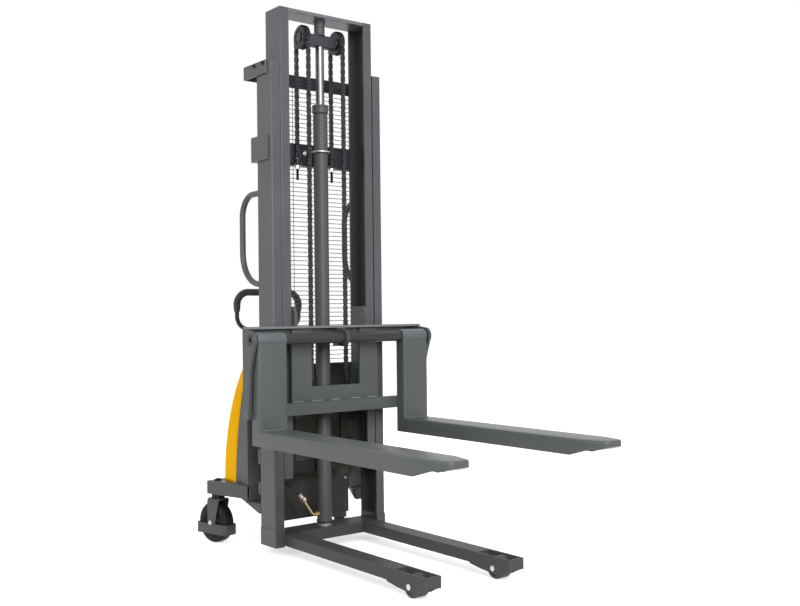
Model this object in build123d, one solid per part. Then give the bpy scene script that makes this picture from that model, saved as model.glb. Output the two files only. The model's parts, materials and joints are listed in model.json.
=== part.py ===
from build123d import *
import math
import os

# Semi-electric stacker with a two-stage mast, adjustable forks on a round bar and two swivel casters.
# Lengths are in millimetres, X runs across, the forks point to -Y and Z is up from the floor.
# The drawing below counts Y from the front face of the mast, and every piece is moved at the end
# so that the origin lies on the floor under the middle of the whole machine.

# Mast rails
mast_width = 570.0
mast_top = 2080.0
mast_foot = 37.0
rail_depth = 120.0
rail_flange = 44.0
rail_web = 7.0
rail_lip = 9.0
rail_corner = 5.0
rail_gap = 2.0
shoe_top = 112.0
shoe_proud = 3.0

# Lift, drawn with the inner mast raised by lift_shown out of lift_stroke
lift_shown = 225.0
lift_stroke = 1450.0
inner_low = 95.0
inner_length = 1993.0
top_plate = 15.0
tie_sheet = 18.0
tie_height = 280.0
tie_wing = 70.0
tie_bar_height = 50.0
limb_width = 28.0

# Rollers in the rails
roller_play = 0.5
roller_width = 30.0
stub_radius = 15.0
running_fit = 0.05
mast_roller_low = 75.0
mast_roller_high = 430.0
carriage_roller_low = 640.0
carriage_roller_high = 995.0

# Lift cylinder, crosshead, sheaves and chains
cylinder_radius = 32.0
cylinder_bore = 26.0
cylinder_floor = 90.0
cylinder_top = 1888.0
gland_radius = 35.5
gland_height = 40.0
rod_radius = 19.0
rod_fit = 0.35
crosshead_low = 2172.0
crosshead_high = 2230.0
sheave_z = 2215.0
sheave_root = 41.7
sheave_flange = 52.0
sheave_width = 24.0
sheave_pin = 12.0
chain_x = 90.0
chain_width = 18.0
chain_height = 12.0
chain_fit = 0.3
mast_chain_end = 1700.0
carriage_chain_end = 680.0
chain_bolt_radius = 6.0

# Cross members of the outer mast
mid_beam_low = 1664.0
mid_beam_high = 1762.0
mid_beam_depth = 36.0
beam_clearance = 1.0
beam_wall = 6.0
side_plate = 8.0
top_beam_low = 2028.0
top_beam_high = 2085.0
top_beam_back = 216.0
clamp_rise = 58.0
clamp_bar = 4.0

# Mesh guard behind the mast
guard_inset = 60.0
guard_low = 790.0
guard_high = 2015.0
guard_rows = 65
guard_wire = 3.0
guard_tabs = (50.0, 320.0, 810.0, 1170.0)
guard_tab_height = 30.0

# Grab handles behind the rails
grab_radius = 13.0
grab_reach = 274.0
grab_low = 1143.0
grab_high = 1532.0
grab_corner = 95.0
grab_stub = 14.0

# Straddle legs and their load rollers
leg_width = 75.0
leg_low = 43.0
leg_high = 88.0
leg_tip = -925.0
leg_fork = 180.0
leg_plate = 8.0
cheek_lead = 45.0
cheek_low = 20.0
load_roller_setback = 92.0
load_roller_radius = 42.0
load_roller_width = 55.0
load_axle = 10.0

# Fork carriage
carriage_half = 441.0
end_plate = 14.0
fork_bar_radius = 22.0
fork_bar_drop = 42.0
bar_end_hole = 9.0
bar_end_depth = 30.0
plate_front = -44.0
plate_back = -32.0
plate_half = 222.0
window_half = 125.0
window_low = 705.0
carriage_low = 590.0
beam_under = 952.0
beam_top = 962.0
beam_front = -59.0
beam_back = -20.0
beam_web = 10.0
beam_drop = 57.0
bar_lug_half = 7.0
bar_lug_radius = 36.0
lower_bar_height = 51.0
end_plate_back = -42.0
end_plate_head = 36.0
end_plate_neck = 140.0
roller_plate_sheet = 12.0
roller_plate_play = 5.0
roller_plate_reach = 50.0
tab_low = 600.0
tab_high = 612.0

# Forks
fork_width = 135.0
fork_end_gap = 6.0
fork_wall = 7.0
fork_top = 548.0
fork_under = 486.0
fork_face = -135.0
fork_back = -80.0
fork_tip = -1269.0
fork_taper = 95.0
fork_nose = 42.5
fork_rise = 163.0
lip_rise = 27.0
nose_rise = 36.0
fork_head = 30.0
fork_play = 0.5

# Chassis arms, tray and housing
arm_root_inset = 39.5
arm_root_y = 100.0
arm_half = 34.0
arm_low = 217.0
arm_high = 275.0
arm_end = 458.0
neck_low = 160.0
neck_high = 208.0
tray_sheet = 6.0
apron_y = 197.0
apron_inset = 75.0
apron_low = 100.0
wing_low = 210.0
housing_half = 300.0
housing_wall = 4.0
housing_front = 200.0
housing_top = 785.0
housing_corner = 40.0
cover_foot = 436.0
cover_middle = (395.0, 540.0)
cover_crown = 262.0
seam_foot = 307.0
seam_middle = (282.0, 508.0)
panel_z = 690.0
panel_width = 280.0
panel_length = 118.0
panel_sheet = 8.0

# Casters
kingpin_offset = 26.0
kingpin_y = 423.0
kingpin_radius = 12.0
race_radius = 24.0
race_low = 199.0
yoke_top = 198.0
yoke_plate = 8.0
wheel_radius = 90.0
wheel_width = 50.0
wheel_axle = 10.0
caster_trail = 12.0
yoke_gap = 56.0
yoke_leg = 5.0
guard_plate = 3.0
guard_half_length = 96.0
caster_guard_low = 40.0
caster_guard_high = 86.0
heading_left = 14.0
heading_right = -35.0

# Battery, power unit and pressure hose
battery_inset = 68.0
unit_gap = 22.0
battery_depth = 152.0
battery_height = 220.0
unit_setback = 40.0
tank_inset = 70.0
tank_width = 160.0
tank_depth = 130.0
tank_height = 150.0
valve_length = 100.0
valve_depth = 80.0
valve_height = 60.0
motor_radius = 55.0
motor_height = 190.0
hose_radius = 7.0
hose_corner = 16.0
hose_hole_inset = 110.0
hose_hole_rise = 25.0
hose_hole_radius = 8.0
hose_end = (-100.0, 80.0, 215.0)
hose_bend = (-142.0, 80.0, 263.0)
pipe_radius = 5.0
port_z = 131.0

# Tiller
tiller_y = 522.0
tiller_pivot_z = 250.0
tiller_pin_radius = 6.0
tiller_half = 168.0
tiller_low = 945.0
tiller_high = 1117.5
tiller_tube = 10.0
tiller_corner = 60.0
tiller_arm_width = 40.0
tiller_arm_depth = 30.0
grip_radius = 16.5
grip_low = 1025.0
lug_radius = 16.0
lug_gap = 22.0

# Sizes that follow from the ones above
outer_half = mast_width / 2
axis_y = rail_depth / 2
tie_back = rail_depth - 4
tie_front = tie_back - tie_sheet
mid_beam_front = rail_depth + beam_clearance
mid_beam_back = mid_beam_front + mid_beam_depth
leg_outer = outer_half - rail_flange - 1
leg_inner = leg_outer - leg_width
guard_half = outer_half - guard_inset
grab_x = outer_half - grab_radius
inner_half = outer_half - rail_flange - rail_gap
inner_tip = inner_half - rail_flange
roller_plate_out = inner_tip - roller_plate_play
roller_plate_in = roller_plate_out - roller_plate_sheet
limb_in = chain_x + limb_width
limb_out = limb_in + limb_width
inner_bottom = inner_low + lift_shown
inner_top = inner_bottom + inner_length
plate_under = inner_top - top_plate
roller_radius = rail_depth / 2 - rail_lip - roller_play
mast_roller_x = (outer_half - rail_web + inner_half) / 2
carriage_roller_x = (inner_half - rail_web + roller_plate_out) / 2 + 2
chain_radius = sheave_root + chain_fit + chain_height / 2
front_run = axis_y - chain_radius
rear_run = axis_y + chain_radius
clamp_z = mid_beam_low + clamp_rise
leg_tube_end = leg_tip + leg_fork
load_roller_y = leg_tip + load_roller_setback
grab_sweep = grab_reach - rail_depth - grab_stub
fork_bar_y = fork_face + fork_head
fork_bar_z = beam_under - fork_bar_drop
roller_plate_low = carriage_low - 10
roller_plate_high = carriage_roller_high + roller_plate_reach
fork_centre = carriage_half - fork_end_gap - fork_width / 2
kingpin_x = housing_half + kingpin_offset
arm_angle = math.atan2(kingpin_x - outer_half + arm_root_inset, kingpin_y - arm_root_y)
sine = math.sin(arm_angle)
cosine = math.cos(arm_angle)
apron_half = housing_half - apron_inset
battery_length = 2 * housing_half - battery_inset - tank_inset - tank_width - unit_gap
rear_reach = tiller_y + grip_radius
mast_front_y = (-fork_tip - rear_reach) / 2


def block(x0, x1, y0, y1, z0, z1):
    middle = Pos((x0 + x1) / 2, (y0 + y1) / 2, (z0 + z1) / 2)
    return middle * Box(x1 - x0, y1 - y0, z1 - z0)


def rod_x(x0, x1, y, z, radius):
    return Pos((x0 + x1) / 2, y, z) * Rot(0, 90, 0) * Cylinder(radius, x1 - x0)


def rod_y(y0, y1, x, z, radius):
    return Pos(x, (y0 + y1) / 2, z) * Rot(90, 0, 0) * Cylinder(radius, y1 - y0)


def rod_z(z0, z1, x, y, radius):
    return Pos(x, y, (z0 + z1) / 2) * Cylinder(radius, z1 - z0)


def prism_x(x0, x1, outline):
    side = Plane(origin=(x0, 0, 0), x_dir=(0, 1, 0), z_dir=(1, 0, 0))
    return extrude(side * Polygon(*outline, align=None), amount=x1 - x0, dir=(1, 0, 0))


def sheet_x(x0, x1, lines):
    side = Plane(origin=(x0, 0, 0), x_dir=(0, 1, 0), z_dir=(1, 0, 0))
    return extrude(side * make_face(lines), amount=x1 - x0, dir=(1, 0, 0))


def prism_z(z0, z1, outline):
    flat = Pos(0, 0, z0) * Polygon(*outline, align=None)
    return extrude(flat, amount=z1 - z0, dir=(0, 0, 1))


def hex_z(z0, z1, x, y, across):
    flat = Pos(x, y, z0) * RegularPolygon(across / 2, 6, major_radius=False)
    return extrude(flat, amount=z1 - z0, dir=(0, 0, 1))


def tube(path, radius):
    start = Plane(origin=path @ 0, z_dir=path % 0)
    return sweep(start * Circle(radius), path=path)


def other_side(shape):
    return mirror(shape, about=Plane.YZ)


def both(shape):
    return [shape, other_side(shape)]


nodes = {}


def keep(name, shapes):
    solids = []
    for shape in shapes:
        solids.extend(shape.solids())
    nodes[name] = solids


# Outer rails: channels with their open sides facing inwards, each on a welded shoe
def channel(web_face):
    middle = rail_depth / 2
    outline = Pos(web_face - rail_flange / 2, middle) * Rectangle(rail_flange, rail_depth)
    clear = rail_depth - 2 * rail_lip
    hollow = Pos(web_face - rail_web - rail_flange / 2, middle) * Rectangle(rail_flange, clear)
    section = outline - hollow
    corners = [v for v in section.vertices() if abs(v.X - web_face) < 0.01]
    return fillet(corners, rail_corner)


def rail(web_face, low, high):
    return Pos(0, 0, low) * extrude(channel(web_face), amount=high - low, dir=(0, 0, 1))


outer_rail = rail(outer_half, mast_foot, mast_top)
shoe = block(leg_outer, outer_half, -shoe_proud, rail_depth, mast_foot, shoe_top)
keep("outer_rails", both(outer_rail + shoe))

# Inner rails with the stub axles of the mast rollers
inner_rail = rail(inner_half, inner_bottom, inner_top)
roller_face = mast_roller_x - roller_width / 2
for level in (mast_roller_low, mast_roller_high):
    height = inner_bottom + level
    inner_rail += rod_x(inner_half - 1, mast_roller_x + roller_width / 2 + 1.5, axis_y, height, stub_radius)
    inner_rail += rod_x(inner_half - 1, roller_face - roller_play, axis_y, height, stub_radius + 6)
keep("inner_rails", both(inner_rail))

# Top plate, let into the channels of the rails
plate_reach = inner_half - rail_web
crown_plate = block(-inner_tip, inner_tip, 0, rail_depth - 2, plate_under, inner_top)
crown_plate += block(-plate_reach, plate_reach, rail_lip, rail_depth - rail_lip, plate_under, inner_top)
keep("inner_top_plate", [crown_plate])

# Lower tie of the inner mast, dipping in the middle to pass under the chain bolts
tie_top = inner_bottom + tie_height
tie = [
    block(limb_in, limb_out, tie_front, tie_back, inner_bottom, tie_top),
    block(limb_out, inner_tip, tie_front, tie_back, tie_top - tie_wing, tie_top),
]
tie_bar = block(-limb_in, limb_in, tie_front, tie_back, inner_bottom, inner_bottom + tie_bar_height)
keep("inner_lower_tie", both(tie[0]) + both(tie[1]) + [tie_bar])


# Rollers, one shape for all eight
def roller(x, z):
    left = x - roller_width / 2
    right = x + roller_width / 2
    rim = rod_x(left, right, axis_y, z, roller_radius)
    rim = chamfer(rim.edges().filter_by(GeomType.CIRCLE), 2)
    return rim - rod_x(left - 1, right + 1, axis_y, z, stub_radius + running_fit)


keep("mast_rollers_lower", both(roller(mast_roller_x, inner_bottom + mast_roller_low)))
keep("mast_rollers_upper", both(roller(mast_roller_x, inner_bottom + mast_roller_high)))
keep("carriage_rollers_lower", both(roller(carriage_roller_x, carriage_roller_low)))
keep("carriage_rollers_upper", both(roller(carriage_roller_x, carriage_roller_high)))

# Lift cylinder, gland and piston rod
barrel = rod_z(cylinder_floor, cylinder_top, 0, axis_y, cylinder_radius)
keep("lift_cylinder", [barrel - rod_z(cylinder_floor + 12, cylinder_top + 1, 0, axis_y, cylinder_bore)])
gland = rod_z(cylinder_top, cylinder_top + gland_height, 0, axis_y, gland_radius)
gland = chamfer(gland.edges().filter_by(GeomType.CIRCLE), 2)
gland -= rod_z(cylinder_top - 1, cylinder_top + gland_height + 1, 0, axis_y, rod_radius + rod_fit)
keep("cylinder_gland", [gland])
piston_low = cylinder_floor + 20 + lift_shown
piston = rod_z(piston_low, piston_low + 40, 0, axis_y, cylinder_bore - rod_fit)
keep("piston_rod", [piston + rod_z(piston_low, crosshead_low, 0, axis_y, rod_radius)])

# Crosshead with the sheave axles, hung under the top plate on a post
sheave_in = chain_x - sheave_width / 2
sheave_out = chain_x + sheave_width / 2
head_half = sheave_in - 4
crosshead = block(-head_half, head_half, axis_y - 22, axis_y + 22, crosshead_low, crosshead_high)
crosshead += block(-25, 25, axis_y - 25, axis_y + 25, crosshead_high - 1, plate_under)
crosshead += rod_x(-sheave_out - 2, sheave_out + 2, axis_y, sheave_z, sheave_pin)
keep("crosshead", [crosshead])


# Chain sheaves with a flat-bottomed groove
def sheave(x):
    half = sheave_width / 2
    groove = chain_width / 2 + chain_fit
    bore = sheave_pin + running_fit
    outline = [
        (-half, bore),
        (half, bore),
        (half, sheave_flange),
        (groove, sheave_flange),
        (groove, sheave_root),
        (-groove, sheave_root),
        (-groove, sheave_flange),
        (-half, sheave_flange),
    ]
    wheel = revolve(Polygon(*outline, align=None), axis=Axis.X)
    return Pos(x, axis_y, sheave_z) * wheel


keep("sheave_right", [sheave(chain_x)])
keep("sheave_left", [sheave(-chain_x)])

# Lift chains: a run behind the sheaves to the mast, a wrap over the top and a run down to the carriage
chain_in = chain_x - chain_width / 2
chain_out = chain_x + chain_width / 2
half_chain = chain_height / 2
wrap = rod_x(chain_in, chain_out, axis_y, sheave_z, chain_radius + half_chain)
wrap -= rod_x(chain_in - 1, chain_out + 1, axis_y, sheave_z, chain_radius - half_chain)
wrap &= block(0, 200, -200, 300, sheave_z, sheave_z + 100)
keep("chain_wraps", both(wrap))


def chain_run(y, end):
    return block(chain_in, chain_out, y - half_chain, y + half_chain, end, sheave_z)


keep("rear_chain_runs", both(chain_run(rear_run, mast_chain_end)))
keep("front_chain_runs", both(chain_run(front_run, carriage_chain_end)))

# Mid beam with side plates, chain lugs and the saddle that carries the cylinder
beam = block(-outer_half, outer_half, mid_beam_front, mid_beam_back, mid_beam_low, mid_beam_high)
beam -= block(
    -outer_half - 1,
    outer_half + 1,
    mid_beam_front + beam_wall,
    mid_beam_back - beam_wall,
    mid_beam_low + beam_wall,
    mid_beam_high - beam_wall,
)
clamp_leg = cylinder_radius + clamp_bar + 1
clamp_hole = rod_y(mid_beam_front - 1, mid_beam_front + 10, clamp_leg, clamp_z, clamp_bar + 0.3)
beam -= [clamp_hole, other_side(clamp_hole)]
cheek = block(outer_half, outer_half + side_plate, 24, mid_beam_back, mid_beam_low, mid_beam_high + 8)
lug = block(chain_x - 23, chain_x + 23, rear_run - 12, mid_beam_front, mid_beam_low, mid_beam_low + 12)
lug -= rod_z(mid_beam_low - 1, mid_beam_low + 13, chain_x, rear_run, chain_bolt_radius + 0.3)
saddle = block(-26, 26, axis_y + 22, mid_beam_front, clamp_z - 25, clamp_z + 25)
saddle -= rod_z(clamp_z - 26, clamp_z + 26, 0, axis_y, cylinder_radius + 0.1)
keep("mid_tie_beam", [beam, saddle] + both(cheek) + both(lug))

# Top beam, one flat bar bent round behind the mast
cheek_out = outer_half + side_plate
top_bar = block(-cheek_out, cheek_out, top_beam_back - 10, top_beam_back, top_beam_low, top_beam_high)
top_arm = block(outer_half, cheek_out, 30, top_beam_back - 10, top_beam_low, top_beam_high)
keep("top_tie_beam", [top_bar] + both(top_arm))

# U-bolt that ties the cylinder to the mid beam
bend = clamp_leg
nut_seat = mid_beam_front + beam_wall
u_path = Line((-bend, nut_seat + 14, clamp_z), (-bend, axis_y, clamp_z))
u_path += ThreePointArc((-bend, axis_y, clamp_z), (0, axis_y - bend, clamp_z), (bend, axis_y, clamp_z))
u_path += Line((bend, axis_y, clamp_z), (bend, nut_seat + 14, clamp_z))
u_bolt = tube(u_path, clamp_bar)
nut = extrude(RegularPolygon(6.5, 6, major_radius=False), amount=7)
nut = Pos(bend, nut_seat, clamp_z) * Rot(-90, 0, 0) * nut
keep("cylinder_clamp", [u_bolt + nut + other_side(nut)])


# Chain anchor bolts, plated nuts under the lug and the thread hanging below
def chain_bolt(y, tail, nut_low, seat, head):
    stem = rod_z(tail, head - 22, chain_x, y, chain_bolt_radius)
    stem += hex_z(nut_low, seat, chain_x, y, 19)
    stem += block(chain_in + 2, chain_out - 2, y - 7, y + 7, head - 24, head)
    return stem


mast_bolt = chain_bolt(rear_run, mid_beam_low - 64, mid_beam_low - 16, mid_beam_low, mast_chain_end)
keep("mast_chain_bolts", both(mast_bolt))
carriage_bolt = chain_bolt(front_run, tab_low - 28, tab_low - 16, tab_low, carriage_chain_end)
keep("carriage_chain_bolts", both(carriage_bolt))

# Mesh guard: one sheet of crossing wires with tabs to the rails
row_pitch = (guard_high - guard_low) / (guard_rows - 1)
guard_height = guard_high - guard_low
mesh_face = Rectangle(2 * guard_half + guard_wire, guard_height + guard_wire)
mesh_face = Pos(0, guard_low + guard_height / 2) * mesh_face
bars = (-guard_half, -chain_x, chain_x, guard_half)
gaps = []
for left, right in zip(bars, bars[1:]):
    for row in range(guard_rows - 1):
        middle = guard_low + (row + 0.5) * row_pitch
        gap = Rectangle(right - left - guard_wire, row_pitch - guard_wire)
        gaps.append(Pos((left + right) / 2, middle) * gap)
mesh_face -= gaps
mesh_plane = Plane(origin=(0, mid_beam_back, 0), x_dir=(1, 0, 0), z_dir=(0, -1, 0))
mesh = [extrude(mesh_plane * mesh_face, amount=guard_wire, dir=(0, 1, 0))]
guard_edge = guard_half + guard_wire / 2
tab_end = outer_half - guard_inset / 2
for rise in guard_tabs:
    low = guard_low + rise
    high = low + guard_tab_height
    tab = block(guard_edge, tab_end, mid_beam_back, mid_beam_back + guard_wire, low, high)
    tab += block(tab_end - guard_wire, tab_end, rail_depth, mid_beam_back, low, high)
    mesh += both(tab)
keep("mesh_guard", mesh)

# Grab handles, with a longer bend at the lower end
grab_middle = (grab_low + grab_high) / 2
grab_path = FilletPolyline(
    (grab_x, rail_depth, grab_high),
    (grab_x, grab_reach, grab_high),
    (grab_x, grab_reach, grab_middle),
    radius=grab_corner,
)
grab_path += FilletPolyline(
    (grab_x, grab_reach, grab_middle),
    (grab_x, grab_reach, grab_low),
    (grab_x, rail_depth, grab_low),
    radius=grab_sweep,
)
keep("grab_handles", both(tube(grab_path, grab_radius)))

# Base crossbeam and straddle legs, each with two cheeks and a toe plate round its load roller
crossbeam = block(-leg_inner, leg_inner, 0, rail_depth, leg_low - 1, cylinder_floor)
crossbeam -= block(-leg_inner - 1, leg_inner + 1, 6, rail_depth - 6, leg_low + 5, cylinder_floor - 8)
keep("base_crossbeam", [crossbeam])
leg = block(leg_inner, leg_outer, leg_tube_end, rail_depth, leg_low, leg_high)
leg -= block(leg_inner + 5, leg_outer - 5, leg_tube_end + 6, rail_depth + 1, leg_low + 5, leg_high - 5)
cheek_end = leg_tip + leg_plate
cheek_start = leg_tube_end + cheek_lead
cheek_outline = [
    (leg_tube_end, leg_high),
    (leg_tube_end, leg_low),
    (cheek_start, leg_low),
    (cheek_start - 9, leg_low - 6),
    (load_roller_y + 63, cheek_low + 8),
    (load_roller_y - 11, cheek_low + 2),
    (load_roller_y - 36, cheek_low),
    (cheek_end, leg_low + 2),
    (cheek_end, leg_high),
]
axle_hole = rod_x(leg_inner - 1, leg_outer + 1, load_roller_y, load_roller_radius, load_axle + 0.02)
outer_cheek = prism_x(leg_outer - leg_plate, leg_outer, cheek_outline) - axle_hole
inner_cheek = prism_x(leg_inner, leg_inner + leg_plate, cheek_outline) - axle_hole
toe_plate = block(leg_inner, leg_outer, leg_tip, cheek_end, leg_low + 2, leg_high)
keep("legs", both(leg) + both(outer_cheek) + both(inner_cheek) + both(toe_plate))
leg_middle = (leg_inner + leg_outer) / 2
axle = rod_x(leg_inner, leg_outer, load_roller_y, load_roller_radius, load_axle)
axle += rod_x(leg_outer, leg_outer + 3, load_roller_y, load_roller_radius, load_axle + 4)
axle += rod_x(leg_inner - 3, leg_inner, load_roller_y, load_roller_radius, load_axle + 4)
keep("load_roller_axles", both(axle))
load_roller = rod_x(
    leg_middle - load_roller_width / 2,
    leg_middle + load_roller_width / 2,
    load_roller_y,
    load_roller_radius,
    load_roller_radius,
)
load_roller = chamfer(load_roller.edges().filter_by(GeomType.CIRCLE), 3)
load_roller -= rod_x(leg_inner, leg_outer, load_roller_y, load_roller_radius, load_axle + running_fit)
keep("load_roller_right", [load_roller])
keep("load_roller_left", [other_side(load_roller)])

# Carriage: U-shaped plate, lower bar, top beam, end plates, round fork bar and roller plates
column = block(window_half, plate_half, plate_front, plate_back, window_low, beam_under)
base = block(-plate_half, plate_half, plate_front, plate_back, carriage_low, window_low)
tab = block(chain_x - 28, roller_plate_in, plate_back, front_run + 12, tab_low, tab_high)
tab -= rod_z(tab_low - 1, tab_high + 1, chain_x, front_run, chain_bolt_radius + 0.3)
keep("carriage_plate", [base] + both(column) + both(tab))
bar_front = fork_back + fork_play
bar_low = carriage_low + 2
lower_bar = block(-carriage_half, carriage_half, bar_front, plate_front, bar_low, bar_low + lower_bar_height)
keep("carriage_lower_bar", [lower_bar])
web_low = beam_under - beam_drop
end_out = carriage_half + end_plate
flange = block(-carriage_half, carriage_half, beam_front, beam_back, beam_under, beam_top)
flange += block(-end_out, end_out, beam_front, end_plate_back, beam_under, beam_top)
web = block(-carriage_half, carriage_half, plate_back, plate_back + beam_web, web_low, beam_under)
bar_hole = rod_x(-end_out - 6, end_out + 6, fork_bar_y, fork_bar_z, fork_bar_radius + 0.02)
bar_lug = rod_x(-bar_lug_half, bar_lug_half, fork_bar_y, fork_bar_z, bar_lug_radius)
bar_lug += block(-bar_lug_half, bar_lug_half, fork_bar_y, plate_back, web_low, beam_under)
keep("carriage_top_beam", [flange, web, bar_lug - bar_hole])
# Each end plate has a round head at the bar and a hollow front edge below it
head_top = (fork_bar_y, fork_bar_z + end_plate_head)
head_front = (fork_bar_y - end_plate_head, fork_bar_z)
head_foot = (fork_bar_y - end_plate_head * math.cos(math.pi / 6), fork_bar_z - end_plate_head / 2)
hollow_middle = (fork_bar_y - 8, fork_bar_z - end_plate_head / 2 - 62)
hollow_foot = (fork_bar_y + 7, fork_bar_z - end_plate_neck)
plate_foot = (fork_back - 4, carriage_low)
end_lines = [
    Line((end_plate_back, carriage_low), (end_plate_back, beam_under)),
    Line((end_plate_back, beam_under), (beam_front, beam_under)),
    Line((beam_front, beam_under), head_top),
    ThreePointArc(head_top, head_front, head_foot),
    ThreePointArc(head_foot, hollow_middle, hollow_foot),
    Line(hollow_foot, plate_foot),
    Line(plate_foot, (end_plate_back, carriage_low)),
]
end = sheet_x(carriage_half, end_out, end_lines) - bar_hole
keep("carriage_end_plates", both(end))
bar_half = end_out + 1
bar = rod_x(-bar_half, bar_half, fork_bar_y, fork_bar_z, fork_bar_radius)
end_hole = rod_x(bar_half - bar_end_depth, bar_half + 1, fork_bar_y, fork_bar_z, bar_end_hole)
bar -= [end_hole, other_side(end_hole)]
keep("fork_bar", [bar])
plate_outline = [
    (plate_back, roller_plate_low),
    (tie_front - 3, roller_plate_low),
    (tie_front - 3, roller_plate_high),
    (-2, roller_plate_high),
    (beam_back, roller_plate_high - 35),
    (beam_back, web_low - 3),
    (plate_back, web_low - 3),
]
roller_plate = prism_x(roller_plate_in, roller_plate_out, plate_outline)
carriage_face = carriage_roller_x - roller_width / 2
for height in (carriage_roller_low, carriage_roller_high):
    stub_end = carriage_roller_x + roller_width / 2 + 1.5
    roller_plate += rod_x(roller_plate_in + 1, stub_end, axis_y, height, stub_radius)
    roller_plate += rod_x(roller_plate_in + 1, carriage_face - roller_play, axis_y, height, stub_radius + 6)
keep("roller_plates", both(roller_plate))


# Forks: sleeve on the bar, shank open to the rear and blade open below so that a leg fits inside
def fork():
    half = fork_width / 2
    inside = half - fork_wall
    roof = fork_top - fork_wall
    shoulder = fork_tip + fork_taper
    sleeve = rod_x(-half, half, fork_bar_y, fork_bar_z, fork_head)
    socket = rod_x(-half - 1, half + 1, fork_bar_y, fork_bar_z, fork_bar_radius + fork_play)
    outside = rod_x(-half - 1, half + 1, fork_bar_y, fork_bar_z, fork_head)
    side = block(inside, half, fork_face, fork_back, fork_under, fork_bar_z) - outside
    shank_back = fork_face + fork_wall
    front = block(-inside, inside, fork_face, shank_back, roof, fork_bar_z) - outside
    heel = block(-inside, inside, shank_back, fork_back, roof, fork_top)
    roof_outline = [
        (-half, fork_face),
        (-half, shoulder),
        (-fork_nose, fork_tip),
        (fork_nose, fork_tip),
        (half, shoulder),
        (half, fork_face),
    ]
    top = prism_z(roof, fork_top, roof_outline)
    wall = block(inside, half, shoulder, fork_face, fork_under, roof)
    slope = fork_wall * (half - fork_nose) / fork_taper
    nose_half = fork_nose - fork_wall
    taper_outline = [
        (inside, shoulder),
        (half, shoulder),
        (fork_nose, fork_tip),
        (nose_half, fork_tip),
        (nose_half, fork_tip + fork_wall),
        (nose_half + slope, fork_tip + fork_wall),
    ]
    taper = prism_z(fork_under, roof, taper_outline)
    nose = block(-nose_half, nose_half, fork_tip, fork_tip + fork_wall, fork_under, roof)
    rise = [
        (fork_tip + fork_rise, fork_under - 1),
        (fork_tip + fork_rise, fork_under),
        (fork_tip + 70, fork_under + lip_rise),
        (fork_tip + 50, fork_under + lip_rise - 2.5),
        (fork_tip + 10, fork_under + nose_rise),
        (fork_tip - 1, fork_under + nose_rise),
        (fork_tip - 1, fork_under - 1),
    ]
    lift_cut = prism_x(-half - 1, half + 1, rise)
    upper = [edge for edge in top.edges() if edge.center().Z > fork_top - 0.1]
    nose_edge = [edge for edge in upper if abs(edge.center().Y - fork_tip) < 0.1]
    top = fillet(nose_edge, fork_wall - 1)
    pieces = [sleeve - socket, front, heel, top, nose - lift_cut]
    return pieces + both(side) + both(wall - lift_cut) + both(taper - lift_cut)


keep("fork_right", [Pos(fork_centre, 0, 0) * piece for piece in fork()])
keep("fork_left", [Pos(-fork_centre, 0, 0) * piece for piece in fork()])


# Chassis arms, splayed towards the casters, with the race and kingpin under each end
def along(y):
    return (y - kingpin_y) / cosine


arm_plane = Plane(
    origin=(kingpin_x - arm_half * cosine, kingpin_y + arm_half * sine, 0),
    x_dir=(sine, cosine, 0),
    z_dir=(cosine, -sine, 0),
)
tail = along(arm_end)
arm_outline = [
    (tail, arm_low),
    (tail, arm_high),
    (along(housing_front) - 10, arm_high),
    (along(housing_front) - 10, neck_high),
    (along(rail_depth - 40), neck_high),
    (along(rail_depth - 40), neck_low),
    (along(rail_depth + 20), neck_low + 5),
    (along(rail_depth + 124), arm_low),
]
arm = extrude(arm_plane * Polygon(*arm_outline, align=None), amount=2 * arm_half, dir=(cosine, -sine, 0))
arm -= block(0, 500, -100, rail_depth, 0, 400)
arm -= block(0, 500, 0, housing_front, neck_high, 400)
arm -= block(0, leg_outer + 1, 0, rail_depth + 4, 0, 400)
pocket = [
    (along(housing_front + 6), arm_low + 6),
    (along(housing_front + 6), arm_high - 6),
    (along(kingpin_y - 40), arm_high - 6),
    (along(kingpin_y - 40), arm_low + 6),
]
arm -= extrude(
    arm_plane.offset(-5) * Polygon(*pocket, align=None),
    amount=2 * arm_half - 1,
    dir=(cosine, -sine, 0),
)
arm += rod_z(race_low, arm_low + 1, kingpin_x, kingpin_y, race_radius)
pin_low = yoke_top - yoke_plate - 7
arm += rod_z(pin_low, race_low + 1, kingpin_x, kingpin_y, kingpin_radius)
arm += rod_z(pin_low, yoke_top - yoke_plate - 0.6, kingpin_x, kingpin_y, kingpin_radius + 5)
keep("chassis_arms", both(arm))


# Tray between the arms, its apron with a wing before each arm, and the rear flange that carries the tiller
def arm_inner(y):
    centre = kingpin_x + (y - kingpin_y) * sine / cosine
    return centre - arm_half / cosine - 0.1


apron_back = apron_y + tray_sheet
flange_front = arm_end - tray_sheet
floor_outline = [
    (-arm_inner(apron_back), apron_back),
    (arm_inner(apron_back), apron_back),
    (arm_inner(flange_front), flange_front),
    (-arm_inner(flange_front), flange_front),
]
floor = prism_z(arm_low, arm_low + tray_sheet, floor_outline)
apron = block(-apron_half, apron_half, apron_y, apron_back, apron_low, arm_high)
wing_end = housing_half - housing_wall
wing = block(apron_half, wing_end, housing_front - tray_sheet, housing_front, wing_low, arm_high)
apron += [wing, other_side(wing)]
rear_outline = [
    (-arm_inner(flange_front), flange_front),
    (arm_inner(flange_front), flange_front),
    (arm_inner(arm_end), arm_end),
    (-arm_inner(arm_end), arm_end),
]
rear_flange = prism_z(arm_low, arm_high, rear_outline)
keep("rear_tray", [floor, apron, rear_flange])

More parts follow.
